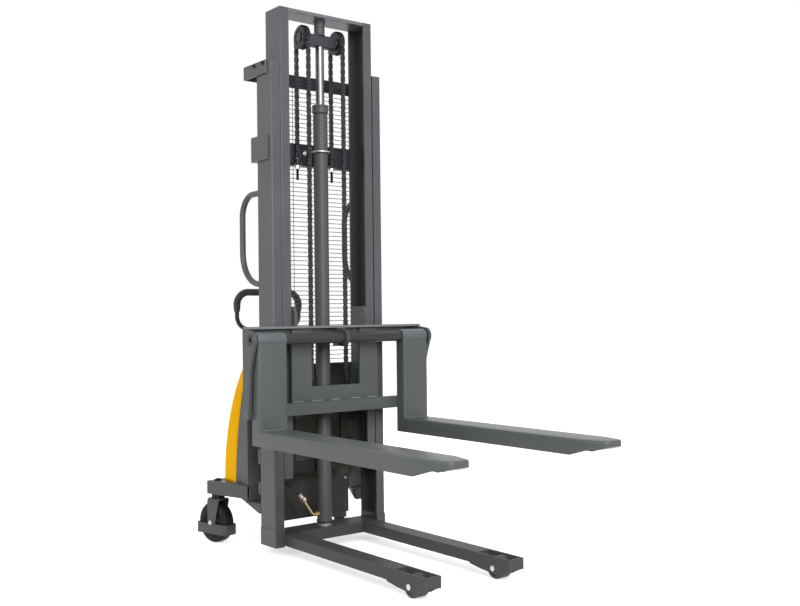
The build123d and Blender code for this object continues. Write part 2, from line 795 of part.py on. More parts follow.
# Housing: dark front panel, grey side panels and a yellow rear cover
hose_hole = (hose_hole_inset - housing_half, arm_high + hose_hole_rise)
front_sheet = block(
    -housing_half + housing_wall,
    housing_half - housing_wall,
    housing_front,
    housing_front + housing_wall,
    arm_high,
    housing_top,
)
front_back = housing_front + housing_wall
front_sheet -= rod_y(housing_front - 1, front_back + 1, hose_hole[0], hose_hole[1], hose_hole_radius)
keep("front_panel", [front_sheet])

seam_top = front_back
seam = ThreePointArc((seam_foot, arm_high), seam_middle, (seam_top, housing_top))
side_lines = [
    Line((housing_front, arm_high), (seam_foot, arm_high)),
    seam,
    Line((seam_top, housing_top), (housing_front, housing_top)),
    Line((housing_front, housing_top), (housing_front, arm_high)),
]
side_panel = sheet_x(housing_half - housing_wall, housing_half, side_lines)
keep("side_panels", both(side_panel))

rear_arc = ThreePointArc((cover_foot, arm_high), cover_middle, (cover_crown, housing_top))
cover_lines = [
    Line((seam_foot, arm_high), (cover_foot, arm_high)),
    rear_arc,
    Line((cover_crown, housing_top), (seam_top, housing_top)),
    seam,
]
cover = sheet_x(-housing_half, housing_half, cover_lines)
rear_edges = cover.edges().filter_by(GeomType.CIRCLE).sort_by(Axis.Y)[-2:]
cover = fillet(rear_edges, housing_corner)
wall = housing_wall
middle_point = rear_arc @ 0.5
arc_centre = rear_arc.arc_center
arc_radius = rear_arc.radius
inner_scale = (arc_radius - wall) / arc_radius
middle_inside = (
    arc_centre.X + (middle_point.X - arc_centre.X) * inner_scale,
    arc_centre.Y + (middle_point.Y - arc_centre.Y) * inner_scale,
)
foot_inside = (cover_foot - wall, arm_high - 10)
crown_inside = (arc_centre.X + (cover_crown - arc_centre.X) * inner_scale, housing_top - wall)
front_low = (housing_front - 40, arm_high - 10)
front_high = (housing_front - 40, housing_top - wall)
inner_lines = [
    Line(front_low, foot_inside),
    ThreePointArc(foot_inside, middle_inside, crown_inside),
    Line(crown_inside, front_high),
    Line(front_high, front_low),
]
hollow = sheet_x(-housing_half + wall, housing_half - wall, inner_lines)
hollow_edges = hollow.edges().filter_by(GeomType.CIRCLE).sort_by(Axis.Y)[-2:]
hollow = fillet(hollow_edges, housing_corner - wall)
cover -= hollow

# Control panel set into the upper slope of the cover
panel_rise = panel_z - arc_centre.Y
panel_y = arc_centre.X + math.sqrt(arc_radius**2 - panel_rise**2)
panel_normal = (0, (panel_y - arc_centre.X) / arc_radius, panel_rise / arc_radius)
panel_plane = Plane(origin=(0, panel_y, panel_z), x_dir=(1, 0, 0), z_dir=panel_normal)
panel_place = Location(panel_plane)
cover -= panel_place * Box(panel_width + 0.4, panel_length + 0.4, 40)
keep("rear_cover", [cover])
stop_x = 85.0
key_x = -85.0
stop_stem = 6.0
key_stem = 7.0
lever_pin = 4.0
lever_z = 17.0
panel = Box(panel_width, panel_length, panel_sheet)
panel -= Pos(stop_x, 0, 0) * Cylinder(stop_stem + 0.4, 40)
panel -= Pos(key_x, 0, 0) * Cylinder(key_stem + running_fit, 40)
ear = block(9.5, 14, -9, 9, panel_sheet / 2, lever_z + 9)
ear -= rod_x(0, 20, 0, lever_z, lever_pin + running_fit)
keep("control_panel", [panel_place * piece for piece in [panel] + both(ear)])

stop = Pos(stop_x, 0, 0) * Cylinder(stop_stem, 34)
head = rod_z(9, 24, stop_x, 0, 19)
head = fillet(head.edges().filter_by(GeomType.CIRCLE).sort_by(Axis.Z)[-1:], 6)
keep("emergency_stop", [panel_place * (stop + head)])
key = Pos(key_x, 0, 0) * Cylinder(key_stem, 30)
key += rod_z(panel_sheet / 2 + 0.4, 12, key_x, 0, 11)
key += block(key_x - 1.5, key_x + 1.5, -10, 10, 11, 34)
keep("key_switch", [panel_place * key])
lever = rod_x(-9, 9, 0, lever_z, 8)
lever += rod_x(-14.5, 14.5, 0, lever_z, lever_pin)
lever += rod_z(lever_z, 92, 0, 0, 5)
lever += Pos(0, 0, 100) * Sphere(14)
keep("lift_lever", [panel_place * lever])

# Battery and hydraulic power unit inside the housing
tray_top = arm_low + tray_sheet
unit_front = housing_front + unit_setback
battery_left = battery_inset - housing_half
battery_right = battery_left + battery_length
battery_back = unit_front + battery_depth
battery_top = tray_top + battery_height
keep("battery", [block(battery_left, battery_right, unit_front, battery_back, tray_top, battery_top)])
tank_right = housing_half - tank_inset
tank_left = tank_right - tank_width
tank_top = tray_top + tank_height
keep("oil_tank", [block(tank_left, tank_right, unit_front, unit_front + tank_depth, tray_top, tank_top)])
valve_x = (tank_left + tank_right) / 2
valve_left = valve_x - valve_length / 2
valve_front = unit_front + 10
valve_back = valve_front + valve_depth
valve_top = tank_top + valve_height
valve_right = valve_left + valve_length
keep("valve_block", [block(valve_left, valve_right, valve_front, valve_back, tank_top, valve_top)])
motor = rod_z(valve_top, valve_top + motor_height, valve_x, (valve_front + valve_back) / 2, motor_radius)
keep("pump_motor", [fillet(motor.edges().filter_by(GeomType.CIRCLE).sort_by(Axis.Z)[-1:], 8)])

# Pressure hose from the valve block, through the front panel and down to the steel pipe at the cylinder
hose_y = (front_back + unit_front) / 2
hose_start_x = valve_left + 10
hose_start_z = (tank_top + valve_top) / 2
hose_path = FilletPolyline(
    (hose_start_x, valve_front, hose_start_z),
    (hose_start_x, hose_y, hose_start_z),
    (hose_hole[0], hose_y, hose_start_z),
    (hose_hole[0], hose_y, hose_hole[1]),
    (hose_hole[0], rail_depth + 26, hose_hole[1]),
    hose_bend,
    hose_end,
    radius=hose_corner,
)
keep("pressure_hose", [tube(hose_path, hose_radius)])
port = (-cylinder_radius, axis_y, port_z)
elbow_x = -cylinder_radius - 18
pipe_bend = tuple(end + 0.8 * (end - bend) for end, bend in zip(hose_end, hose_bend))
pipe_path = FilletPolyline(hose_end, pipe_bend, (elbow_x, axis_y, port_z), port, radius=pipe_radius + 1)
pipe = tube(pipe_path, pipe_radius)
nut_plane = Plane(origin=hose_end, z_dir=pipe_path % 0)
collar = extrude(nut_plane * RegularPolygon(11, 6, major_radius=False), amount=20)
elbow = rod_x(elbow_x, -cylinder_radius - 0.2, axis_y, port_z, pipe_radius + 4)
pipe -= block(-cylinder_radius - 0.2, 0, 0, 200, 0, 300)
keep("pipe_fittings", [pipe + collar + elbow])


# Casters
def caster(heading, side):
    place = Pos(side * kingpin_x, kingpin_y, 0) * Rot(0, 0, heading)
    gap = yoke_gap / 2
    outside = gap + yoke_leg
    under = yoke_top - yoke_plate
    crown = block(-outside, outside, -40, 40, under, yoke_top)
    crown -= rod_z(under - 1, yoke_top + 1, 0, 0, kingpin_radius + running_fit)
    leg_outline = [
        (-36, under),
        (36, under),
        (caster_trail + 24, wheel_radius),
        (caster_trail + 24, wheel_radius - 16),
        (caster_trail + 16, wheel_radius - 24),
        (caster_trail - 16, wheel_radius - 24),
        (caster_trail - 24, wheel_radius - 16),
        (caster_trail - 24, wheel_radius),
    ]
    pin = rod_x(-outside - 6, outside + 6, caster_trail, wheel_radius, wheel_axle)
    fork_leg = prism_x(gap, outside, leg_outline) - pin
    front = caster_trail - guard_half_length
    back = caster_trail + guard_half_length
    skirt = block(outside, outside + guard_plate, front, back, caster_guard_low, caster_guard_high) - pin
    bow = block(-outside, outside, back - guard_plate, back, caster_guard_low, caster_guard_high)
    bumper = block(-outside, outside, front, front + guard_plate, caster_guard_low, caster_guard_high)
    yoke = [crown, pin, bow, bumper] + both(fork_leg) + both(skirt)
    rim = rod_x(-wheel_width / 2, wheel_width / 2, caster_trail, wheel_radius, wheel_radius)
    rim = fillet(rim.edges().filter_by(GeomType.CIRCLE), 6)
    rim -= rod_x(-wheel_width, wheel_width, caster_trail, wheel_radius, wheel_axle + running_fit)
    return [place * piece for piece in yoke], [place * rim]


yoke_right, wheel_right = caster(heading_right, 1)
yoke_left, wheel_left = caster(heading_left, -1)
keep("caster_yoke_right", yoke_right)
keep("caster_yoke_left", yoke_left)
keep("caster_wheel_right", wheel_right)
keep("caster_wheel_left", wheel_left)

# Tiller bracket, pin, handle loop and grip
bracket = block(-40, 40, arm_end, arm_end + 6, arm_low + 3, arm_high)
ear_low = tiller_pivot_z - lug_radius
ear_high = tiller_pivot_z + lug_radius
ear = block(lug_gap, lug_gap + 10, arm_end + 6, tiller_y, ear_low, ear_high)
ear += rod_x(lug_gap, lug_gap + 10, tiller_y, tiller_pivot_z, lug_radius)
ear -= rod_x(lug_gap - 1, lug_gap + 11, tiller_y, tiller_pivot_z, tiller_pin_radius + 0.02)
keep("tiller_bracket", [bracket] + both(ear))
keep("tiller_pin", [rod_x(-lug_gap - 12, lug_gap + 12, tiller_y, tiller_pivot_z, tiller_pin_radius)])
hub_half = lug_gap - 1
handle = rod_x(-hub_half, hub_half, tiller_y, tiller_pivot_z, lug_radius - 0.5)
arm_front = tiller_y - tiller_arm_depth / 2
handle += block(
    -tiller_arm_width / 2,
    tiller_arm_width / 2,
    arm_front,
    arm_front + tiller_arm_depth,
    tiller_pivot_z,
    tiller_low,
)
loop_right = FilletPolyline(
    (0, tiller_y, tiller_low),
    (tiller_half, tiller_y, tiller_low),
    (tiller_half, tiller_y, tiller_high),
    (0, tiller_y, tiller_high),
    radius=tiller_corner,
)
loop = tube(loop_right, tiller_tube)
handle += [loop, other_side(loop)]
handle -= rod_x(-40, 40, tiller_y, tiller_pivot_z, tiller_pin_radius + running_fit)
keep("tiller_handle", [handle])
grip_right = FilletPolyline(
    (tiller_half, tiller_y, grip_low),
    (tiller_half, tiller_y, tiller_high),
    (-tiller_half, tiller_y, tiller_high),
    (-tiller_half, tiller_y, grip_low),
    radius=tiller_corner,
)
keep("tiller_grip", [tube(grip_right, grip_radius) - tube(grip_right, tiller_tube + 0.05)])

# Every piece is moved to the shared frame and written to its own file
os.makedirs("parts", exist_ok=True)
shift = Location((0, mast_front_y, 0))
for name, solids in nodes.items():
    moved = [solid.moved(shift) for solid in solids]
    export_step(Compound(children=moved), os.path.join("parts", name + ".step"))
print(len(nodes), "nodes, mast front at", mast_front_y)
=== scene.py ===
# %% [markdown]
# # A semi-electric stacker
# The machine is a mast of two nested pairs of steel channels, a fork carriage that two chains pull up, and
# a yellow cover over the battery and pump. The solids come from the frame in metres. Each cell below
# dresses one group of them, and says what the real piece is and why it is made that way here.

# %% Open the frame
import json
import math

import bpy
import numpy as np
from mathutils import Matrix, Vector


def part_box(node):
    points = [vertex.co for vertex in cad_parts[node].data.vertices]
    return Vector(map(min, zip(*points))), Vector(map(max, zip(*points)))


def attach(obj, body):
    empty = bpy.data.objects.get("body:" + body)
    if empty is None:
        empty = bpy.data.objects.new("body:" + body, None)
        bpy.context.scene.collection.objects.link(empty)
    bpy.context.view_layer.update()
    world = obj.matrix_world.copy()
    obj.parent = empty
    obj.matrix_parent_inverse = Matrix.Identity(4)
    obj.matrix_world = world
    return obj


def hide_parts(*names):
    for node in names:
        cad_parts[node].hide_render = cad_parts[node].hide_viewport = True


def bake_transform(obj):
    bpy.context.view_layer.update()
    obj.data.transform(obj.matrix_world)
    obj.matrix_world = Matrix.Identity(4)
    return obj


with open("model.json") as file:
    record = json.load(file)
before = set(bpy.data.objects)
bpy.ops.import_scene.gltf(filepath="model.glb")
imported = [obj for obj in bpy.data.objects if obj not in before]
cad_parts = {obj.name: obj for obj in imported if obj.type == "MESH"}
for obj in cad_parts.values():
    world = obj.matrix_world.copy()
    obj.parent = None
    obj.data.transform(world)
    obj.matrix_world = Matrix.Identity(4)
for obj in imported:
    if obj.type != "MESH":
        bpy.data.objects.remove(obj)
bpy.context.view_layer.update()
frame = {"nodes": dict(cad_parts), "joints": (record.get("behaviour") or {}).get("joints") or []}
joints = {joint["name"]: joint for joint in frame["joints"]}
scene = bpy.context.scene
MM = 0.001
X, Y, Z = np.eye(3)


def mm(*values):
    """Lengths in millimetres, as an array in metres."""
    return np.array(values, float) * MM


def span(node):
    """The lowest and highest corner of a node, as arrays."""
    low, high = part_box(node)
    return np.array(low), np.array(high)


def middle_of(node):
    """The middle of a node's box."""
    low, high = span(node)
    return (low + high) / 2


mast_front = span("inner_top_plate")[0][1]
print("mast front at", round(mast_front, 4), "with", len(frame["nodes"]), "nodes")

# %% [markdown]
# ## Camera and light
# The photograph was taken from fork height, from the left of the forks, with a normal lens. The camera
# could be aimed at a point, but that would lose its small roll, so it is set from its place and three
# angles. A bright even sky and three large lamps stand in for a white photo studio: the floor is white to
# the camera and still takes the soft shadow under the wheels.

# %% Camera
IMAGE_WIDTH = 800
FOCAL_PIXELS = 1010.27
SENSOR = 36.0
EYE = np.array([-2.4587, mast_front - 3.6481, 1.0120])
AZIMUTH, ELEVATION, ROLL = np.radians([-37.95, -0.57, -0.66])


def placed(across, up, out, place):
    """The matrix that lays an object's axes along three directions and moves it to a place."""
    return Matrix(np.column_stack([across, up, out, place]).tolist() + [[0, 0, 0, 1]])


flat = math.cos(ELEVATION)
back = np.array([math.sin(AZIMUTH) * flat, -math.cos(AZIMUTH) * flat, math.sin(ELEVATION)])
level = np.cross(Z, back) / flat
upright = np.cross(back, level)
right = math.cos(ROLL) * level + math.sin(ROLL) * upright
above = math.cos(ROLL) * upright - math.sin(ROLL) * level
lens = bpy.data.cameras.new("camera")
lens.sensor_width = SENSOR
lens.lens = FOCAL_PIXELS * SENSOR / IMAGE_WIDTH
lens.clip_end = 100
camera = bpy.data.objects.new("camera", lens)
camera.matrix_world = placed(right, above, back, EYE)
scene.collection.objects.link(camera)
scene.camera = camera
scene.view_settings.view_transform = "Standard"
print("lens", round(lens.lens, 2), "mm")


# %% [markdown]
# ## Nodes, colours and light
# Every finish is a small tree of shader nodes. Long lists of nodes and wires are hard to read in code, so
# one function adds a node with its settings and its links. Another turns a colour that is written as on a
# screen into the linear values that light is worked out with.

# %% Nodes and colours
def linear(code):
    """Linear values of an sRGB hex colour, and alpha: ((c + 0.055) / 1.055) ** 2.4 above the dark end."""
    c = np.array([int(code[i : i + 2], 16) for i in (1, 3, 5)]) / 255
    c = np.where(c <= 0.04045, c / 12.92, ((c + 0.055) / 1.055) ** 2.4)
    return (*c.tolist(), 1.0)


def add(tree, kind, inputs=None, **settings):
    """Adds a node with its properties. An input gets a value, an output, or a node's first output in use."""
    made = tree.nodes.new("ShaderNode" + kind)
    for key, value in settings.items():
        setattr(made, key, value)
    for socket, value in (inputs or {}).items():
        if isinstance(value, bpy.types.Node):
            value = next(output for output in value.outputs if output.enabled)
        if isinstance(value, bpy.types.NodeSocket):
            tree.links.new(value, made.inputs[socket])
        else:
            made.inputs[socket].default_value = value
    return made


def new_finish(name):
    """An empty material and its node tree."""
    material = bpy.data.materials.new(name)
    material.use_nodes = True
    material.node_tree.nodes.clear()
    return material, material.node_tree


def clouds(tree, place, size, limits, tones, **noise):
    """Slow clouds of one tone in another: the share of the second tone, and the mixture."""
    cloud = add(tree, "TexNoise", {"Vector": place, "Scale": 1 / size, **noise})
    share = add(tree, "MapRange", {"Value": cloud, "From Min": limits[0], "From Max": limits[1]})
    first, second = (linear(tone) for tone in tones)
    return share, add(tree, "Mix", {0: share, 6: first, 7: second}, data_type="RGBA")


# %% Sky and floor
SKY_LIGHT = 0.67
FLOOR_GLOW = 0.53
FLOOR_WHITE, FLOOR_BOUNCE = 0.86, 0.30
FLOOR_REACH = 40.0
WHITE = (1, 1, 1, 1)


def seen(tree):
    """One for rays that show the background, straight, mirrored or through glass, and nought for the rest."""
    rays = add(tree, "LightPath").outputs
    shown = add(tree, "Math", {0: rays["Is Camera Ray"], 1: rays["Is Glossy Ray"]}, operation="MAXIMUM")
    return add(tree, "Math", {0: shown, 1: rays["Is Transmission Ray"]}, operation="MAXIMUM")


world = bpy.data.worlds.new("studio")
world.use_nodes = True
scene.world = world
tree = world.node_tree
tree.nodes.clear()
strength = add(tree, "MapRange", {"Value": seen(tree), "To Min": SKY_LIGHT, "To Max": 1.0})
sky = add(tree, "Background", {"Color": WHITE, "Strength": strength})
add(tree, "OutputWorld", {"Surface": sky})

# Matt white paper: it glows to the camera, so that it stays white, and keeps the shadow that falls on it.
floor_finish, tree = new_finish("studio_floor")
shown = seen(tree)
glow = add(tree, "Math", {0: shown, 1: FLOOR_GLOW}, operation="MULTIPLY")
white = add(tree, "MapRange", {"Value": shown, "To Min": FLOOR_BOUNCE, "To Max": FLOOR_WHITE})
paper = add(tree, "BsdfDiffuse", {"Color": white})
shine = add(tree, "Emission", {"Color": WHITE, "Strength": glow})
both = add(tree, "AddShader", {0: paper, 1: shine})
add(tree, "OutputMaterial", {"Surface": both})
corners = [(-1, -1, 0), (1, -1, 0), (1, 1, 0), (-1, 1, 0)]
floor_mesh = bpy.data.meshes.new("floor")
floor_mesh.from_pydata((np.array(corners) * FLOOR_REACH).tolist(), [], [[0, 1, 2, 3]])
floor_mesh.materials.append(floor_finish)
floor = bpy.data.objects.new("floor", floor_mesh)
scene.collection.objects.link(floor)
print("floor", 2 * FLOOR_REACH, "m wide")

# %% Lamps
# Each lamp has a place and a size in metres, and a power in watts.
LAMPS = {
    "key": ((-1.6, -5.0, 3.4), 3.2, 302.0),
    "side": ((-5.0, -0.5, 3.0), 3.0, 91.0),
    "rear": ((2.0, 6.0, 3.6), 3.2, 151.0),
}
AIM = np.array([0.0, 0.2, 1.1])


def unit(vector):
    """A vector, or each row of an array of vectors, made one long."""
    vector = np.asarray(vector, float)
    return vector / np.linalg.norm(vector, axis=-1, keepdims=True)


for name, (place, size, power) in LAMPS.items():
    lamp = bpy.data.lights.new(name, "AREA")
    lamp.size = size
    lamp.energy = power
    holder = bpy.data.objects.new(name, lamp)
    away = unit(place - AIM)
    across = unit(np.cross(Z, away))
    holder.matrix_world = placed(across, np.cross(away, across), away, place)
    holder.visible_glossy = name != "rear"
    scene.collection.objects.link(holder)
print("stage with", len(LAMPS), "lamps")

# %% [markdown]
# ## Finishes
# The steelwork is powder coated: a dry powder is baked to a hard skin with a fine orange peel and a soft
# sheen. Moving steel is left bare and oiled, the rod is hard chrome, the fittings are zinc or yellow zinc,
# and the wheels and sleeves are black nylon and rubber. Pictures could carry all that, but noise in a
# piece's own coordinates needs no unwrapping and stays sharp close up. Each pattern's scale is one over a
# real size, and the grain of the paint is drawn a little coarser than it is, so that it shows.

# %% Painted steel
# Painted shade: every paint darkens towards this tone below this height, most at the floor.
FLOOR_SHADE_TONE, FLOOR_SHADE_TOP = "#313231", 0.9
CLOUDS, SPECKS, PEEL = mm(180, 9, 3)
MIDDLE_OF_NOISE = {"From Min": 0.3, "From Max": 0.7}
DEEP_IN_RAIL = {"From Min": mast_front + 20 * MM, "From Max": mast_front + 30 * MM}


def powder_coat(name, colour, faded, rough, shine=0.2, coat=0.3, haze=0.2, floor_shade=0.38, zones=(), channel_shade=None):
    """Baked paint: slow shifts of tone, an orange peel, and painted shade that deepens towards the floor.

    A zone is an axis, a distance from the middle or floor along it, the tone of the paint beyond that, and
    half the width of the change in mm; zones paint light and shade on single parts. A channel shade is the
    tone of painted shade on the faces inside a rail, which look towards the middle of the mast or forwards.
    """
    material, tree = new_finish(name)
    place = add(tree, "TexCoord").outputs["Object"]
    along = add(tree, "SeparateXYZ", {0: place}).outputs
    _, paint = clouds(tree, place, CLOUDS, (0.35, 0.65), (colour, faded), Detail=4.0, Roughness=0.6)
    for axis, limit, beyond, soft in zones:
        away = add(tree, "Math", {0: along[axis]}, operation="ABSOLUTE")
        edges = {"From Min": limit - soft * MM, "From Max": limit + soft * MM}
        past = add(tree, "MapRange", {"Value": away, **edges})
        paint = add(tree, "Mix", {0: past, 6: paint, 7: linear(beyond)}, data_type="RGBA")
    # Painted shade on the faces inside a rail channel.
    if channel_shade:
        facing = add(tree, "SeparateXYZ", {0: add(tree, "NewGeometry").outputs["Normal"]}).outputs
        inwards = add(tree, "Math", {0: facing["X"], 1: along["X"]}, operation="MULTIPLY")
        inner = add(tree, "MapRange", {"Value": inwards, "From Min": -0.05, "From Max": -0.12})
        forward = add(tree, "MapRange", {"Value": facing["Y"], "From Min": -0.5, "From Max": -0.8})
        sunk = add(tree, "MapRange", {"Value": along["Y"], **DEEP_IN_RAIL})
        deep = add(tree, "Math", {0: forward, 1: sunk}, operation="MULTIPLY")
        channel_shade_share = add(tree, "Math", {0: inner, 1: deep}, operation="MAXIMUM")
        paint = add(tree, "Mix", {0: channel_shade_share, 6: paint, 7: linear(channel_shade)}, data_type="RGBA")
    # Painted shade that deepens towards the floor, broken up by noise.
    low = add(tree, "MapRange", {"Value": along["Z"], "From Max": FLOOR_SHADE_TOP, "To Min": floor_shade, "To Max": 0.0})
    speck = add(tree, "TexNoise", {"Vector": place, "Scale": 1 / SPECKS, "Detail": 3.0})
    patchy = add(tree, "MapRange", {"Value": speck, **MIDDLE_OF_NOISE, "To Min": 0.85, "To Max": 1.1})
    floor_shade_share = add(tree, "Math", {0: low, 1: patchy}, operation="MULTIPLY")
    floor_shaded = add(tree, "Mix", {0: floor_shade_share, 6: paint, 7: linear(FLOOR_SHADE_TONE)}, data_type="RGBA")
    grain = add(tree, "TexNoise", {"Vector": place, "Scale": 1 / PEEL, "Detail": 2.0})
    sheen = {"To Min": rough - 0.05, "To Max": rough + 0.07}
    gloss = add(tree, "MapRange", {"Value": grain, **MIDDLE_OF_NOISE, **sheen})
    relief = add(tree, "Bump", {"Height": grain, "Strength": 0.25, "Distance": 0.15 * MM})
    skin_values = {"IOR": 1.5, "Specular IOR Level": shine, "Coat Weight": coat, "Coat Roughness": haze}
    surface = {"Base Color": floor_shaded, "Roughness": gloss, "Normal": relief, **skin_values}
    add(tree, "OutputMaterial", {"Surface": add(tree, "BsdfPrincipled", surface)})
    return material


# %% Paints
SLEEVE_SEAM, BEAM_UNDER, CROSSHEAD_TOP, PANEL_SHADE = 0.8985, 0.951, 2.236, 0.62
BEAM_FACE = 0.308
TIE_ARM, PANEL_RIM, TRAY_RIM = 0.2846, 0.245, 0.226
# The zones below paint light and shade on single parts.
fork_zones = [("Z", SLEEVE_SEAM, "#585C5E", 0.5)]
beam_zones = [("Z", BEAM_UNDER, "#747678", 0.5), ("Y", BEAM_FACE, "#4E5152", 0.5)]
tie_zones = [("X", TIE_ARM, "#515255", 0.5)]
head_zones = [("Z", CROSSHEAD_TOP, "#4F4C55", 0.5)]
panel_zones = [("Z", PANEL_SHADE, "#393A37", 40), ("X", PANEL_RIM, "#656663", 0.5)]
tray_zones = [("X", TRAY_RIM, "#555653", 0.5)]
dull = {"shine": 0.1, "coat": 0.0}
matt = {"shine": 0.03, "coat": 0.0, "floor_shade": 0.0}
# Most of the steelwork: an even dark satin with a soft highlight.
grey_paint = powder_coat("grey_powder_coat", "#4C4F50", "#515455", 0.46)
# Rails: the same satin outside, and painted shade on the dull dark faces inside the channels.
rail_paint = powder_coat("painted_shade_rail_paint", "#4E4F52", "#535457", 0.46, channel_shade="#363639")
# Forks: polished by pallets to a hazy gloss, with a painted highlight that makes the sleeves paler.
hazy = {"coat": 0.42, "haze": 0.3}
fork_paint = powder_coat("fork_powder_coat", "#4C4F50", "#515455", 0.44, zones=fork_zones, **hazy)
# Side sheets, end plates and handles: painted shade, a little darker than the welded frame.
sheet_paint = powder_coat("side_sheet_coat_with_painted_shade", "#444748", "#494C4D", 0.46)
# Legs: dust has taken the shine off.
leg_paint = powder_coat("dusty_leg_paint", "#4A4C4C", "#4F5151", 0.5, coat=0.05)
# Top plate: a paler grey than the frame.
plate_paint = powder_coat("pale_top_plate_paint", "#66676B", "#6C6D71", 0.44)
# Carriage top beam: painted highlight on its front edge, plain grey behind, painted shade on the lug below.
beam_paint = powder_coat("beam_paint_with_painted_light_and_shade", "#3A3B3C", "#3F4041", 0.44, zones=beam_zones)
# Tie beams: painted shade, nearly black between the rails, with plain grey arms outside.
tie_paint = powder_coat("painted_shade_tie_beam_paint", "#2A2A2D", "#2F2F32", 0.5, zones=tie_zones)
# Lower tie: painted shade, dull and nearly black.
lower_tie_paint = powder_coat("painted_shade_lower_tie_paint", "#262623", "#2C2C29", 0.55, **dull)
# Crosshead: painted shade in violet black, lighter on the post.
crosshead_paint = powder_coat("painted_shade_crosshead_paint", "#39363E", "#3F3C43", 0.5, coat=0.08, zones=head_zones)
# Cylinder barrel: smooth grey without much sheen.
barrel_paint = powder_coat("grey_barrel_enamel", "#4D4D4C", "#525251", 0.45, coat=0.05)
# Front panel: matt charcoal, with painted shade towards the top and painted light on its rims.
dull_panel = {"floor_shade": 0.1, "zones": panel_zones, **dull}
panel_paint = powder_coat("panel_coat_with_painted_light_and_shade", "#494942", "#4E4E47", 0.55, **dull_panel)
# Rear tray: a brown black that is painted shade, with paler rims.
tray_paint = powder_coat("tray_coat_with_painted_shade", "#3D3C39", "#41403E", 0.55, coat=0.1, zones=tray_zones)
# Tiller: black satin.
tiller_paint = powder_coat("black_powder_coat", "#1D1E1E", "#222323", 0.42)
# Cover: a strong clean yellow, almost without a highlight.
yellow_paint = powder_coat("yellow_powder_coat", "#FFB900", "#FFBE00", 0.4, **matt)
# Guard: grey wire that looks flat, because it is thin.
wire_paint = powder_coat("coated_wire", "#454648", "#4B4C4E", 0.5, coat=0.0)
# Fork bar: dark and smooth, where the sleeves slide.
bar_paint = powder_coat("oiled_bar_paint", "#2F3133", "#353638", 0.36, coat=0.1)
# Caster yokes: plain grey, a little duller than the frame.
caster_paint = powder_coat("grey_caster_paint", "#484A4A", "#4D4F4F", 0.5)
# Weld beads: a painted highlight makes them paler than the frame.
weld_paint = powder_coat("weld_bead_with_painted_highlight", "#636566", "#6A6C6D", 0.4)
# Pump motor: black with a clear highlight.
motor_black = powder_coat("black_motor_enamel", "#1B1B1C", "#212122", 0.4)
print("finishes with the paints:", len(bpy.data.materials))


# %% Metals
STAINS = 35 * MM


def bare_metal(name, colour, worn, rough, brush=0.8, stretch=(1.0, 1.0, 1.0)):
    """Worked metal: fine marks of brush mm, drawn out along axes of small stretch, and dark blotches."""
    material, tree = new_finish(name)
    place = add(tree, "TexCoord").outputs["Object"]
    drawn = add(tree, "Mapping", {"Vector": place, "Scale": stretch})
    marks = add(tree, "TexNoise", {"Vector": drawn, "Scale": 1 / (brush * MM), "Detail": 3.0})
    _, tint = clouds(tree, place, STAINS, (0.4, 0.7), (colour, worn), Detail=4.0, Roughness=0.65)
    sheen = {"To Min": rough * 0.8, "To Max": rough * 1.25}
    gloss = add(tree, "MapRange", {"Value": marks, **MIDDLE_OF_NOISE, **sheen})
    relief = add(tree, "Bump", {"Height": marks, "Strength": 0.12, "Distance": 0.05 * MM})
    surface = {"Base Color": tint, "Metallic": 1.0, "Roughness": gloss, "Normal": relief}
    add(tree, "OutputMaterial", {"Surface": add(tree, "BsdfPrincipled", surface)})
    return material


# Rollers and pin caps: turned steel, mid grey with fine rings of light.
roller_steel = bare_metal("turned_bearing_steel", "#6A6A6C", "#4C4B4A", 0.38)
# Sheaves: darker, under a film of oil.
sheave_steel = bare_metal("oiled_sheave_steel", "#4E4C52", "#3C3A40", 0.42)
# Chain plates: a dull violet grey, dark with oil.
chain_steel = bare_metal("oiled_leaf_chain_steel", "#55535A", "#413F45", 0.42)
# Piston rod: ground and chromed, with a long bright streak along it.
rod_chrome = bare_metal("ground_hard_chrome", "#827F86", "#77747A", 0.3, 0.5, (1.0, 1.0, 0.05))
# Nuts, screws and axles: bright and pale.
zinc = bare_metal("bright_zinc_plate", "#D2D3D3", "#B8B8B5", 0.32)
# Hose nut: zinc with a warm tint.
ferrule_plate = bare_metal("warm_zinc_plate", "#E6D3C5", "#CDBAAB", 0.34)
# Pipe and elbow: a dull gold skin over zinc.
brass = bare_metal("yellow_passivated_steel", "#CDB07E", "#B0A078", 0.4)
# Dark bolts and races: black with a soft sheen.
black_oxide = bare_metal("black_oxide_steel", "#2A2A2B", "#1E1E1E", 0.45)
# Valve block: pale, with the marks of the mill across it.
aluminium = bare_metal("milled_aluminium", "#B9BBBD", "#A5A7A9", 0.35, 0.6, (0.1, 1.0, 1.0))
# Key and bezel: a warm bright silver.
key_metal = bare_metal("nickel_key", "#C4C1BA", "#A9A69F", 0.25)
print("finishes with the metals:", len(bpy.data.materials))


# %% Rubber and plastics
MOULD_GRAIN, HANDLED = mm(1.2, 40)


def moulded(name, colour, worn, rough, relief=0.3, shine=0.5):
    """Moulded rubber or plastic: a fine spark-eroded grain, with slightly paler handled patches."""
    material, tree = new_finish(name)
    place = add(tree, "TexCoord").outputs["Object"]
    texture = add(tree, "TexVoronoi", {"Vector": place, "Scale": 1 / MOULD_GRAIN})
    handled, tint = clouds(tree, place, HANDLED, (0.45, 0.75), (colour, worn), Detail=3.0)
    gloss = add(tree, "MapRange", {"Value": handled, "To Min": rough + 0.06, "To Max": rough - 0.06})
    bumps = add(tree, "Bump", {"Height": texture, "Strength": relief, "Distance": 0.1 * MM})
    skin_values = {"IOR": 1.5, "Specular IOR Level": shine}
    surface = {"Base Color": tint, "Roughness": gloss, "Normal": bumps, **skin_values}
    add(tree, "OutputMaterial", {"Surface": add(tree, "BsdfPrincipled", surface)})
    return material


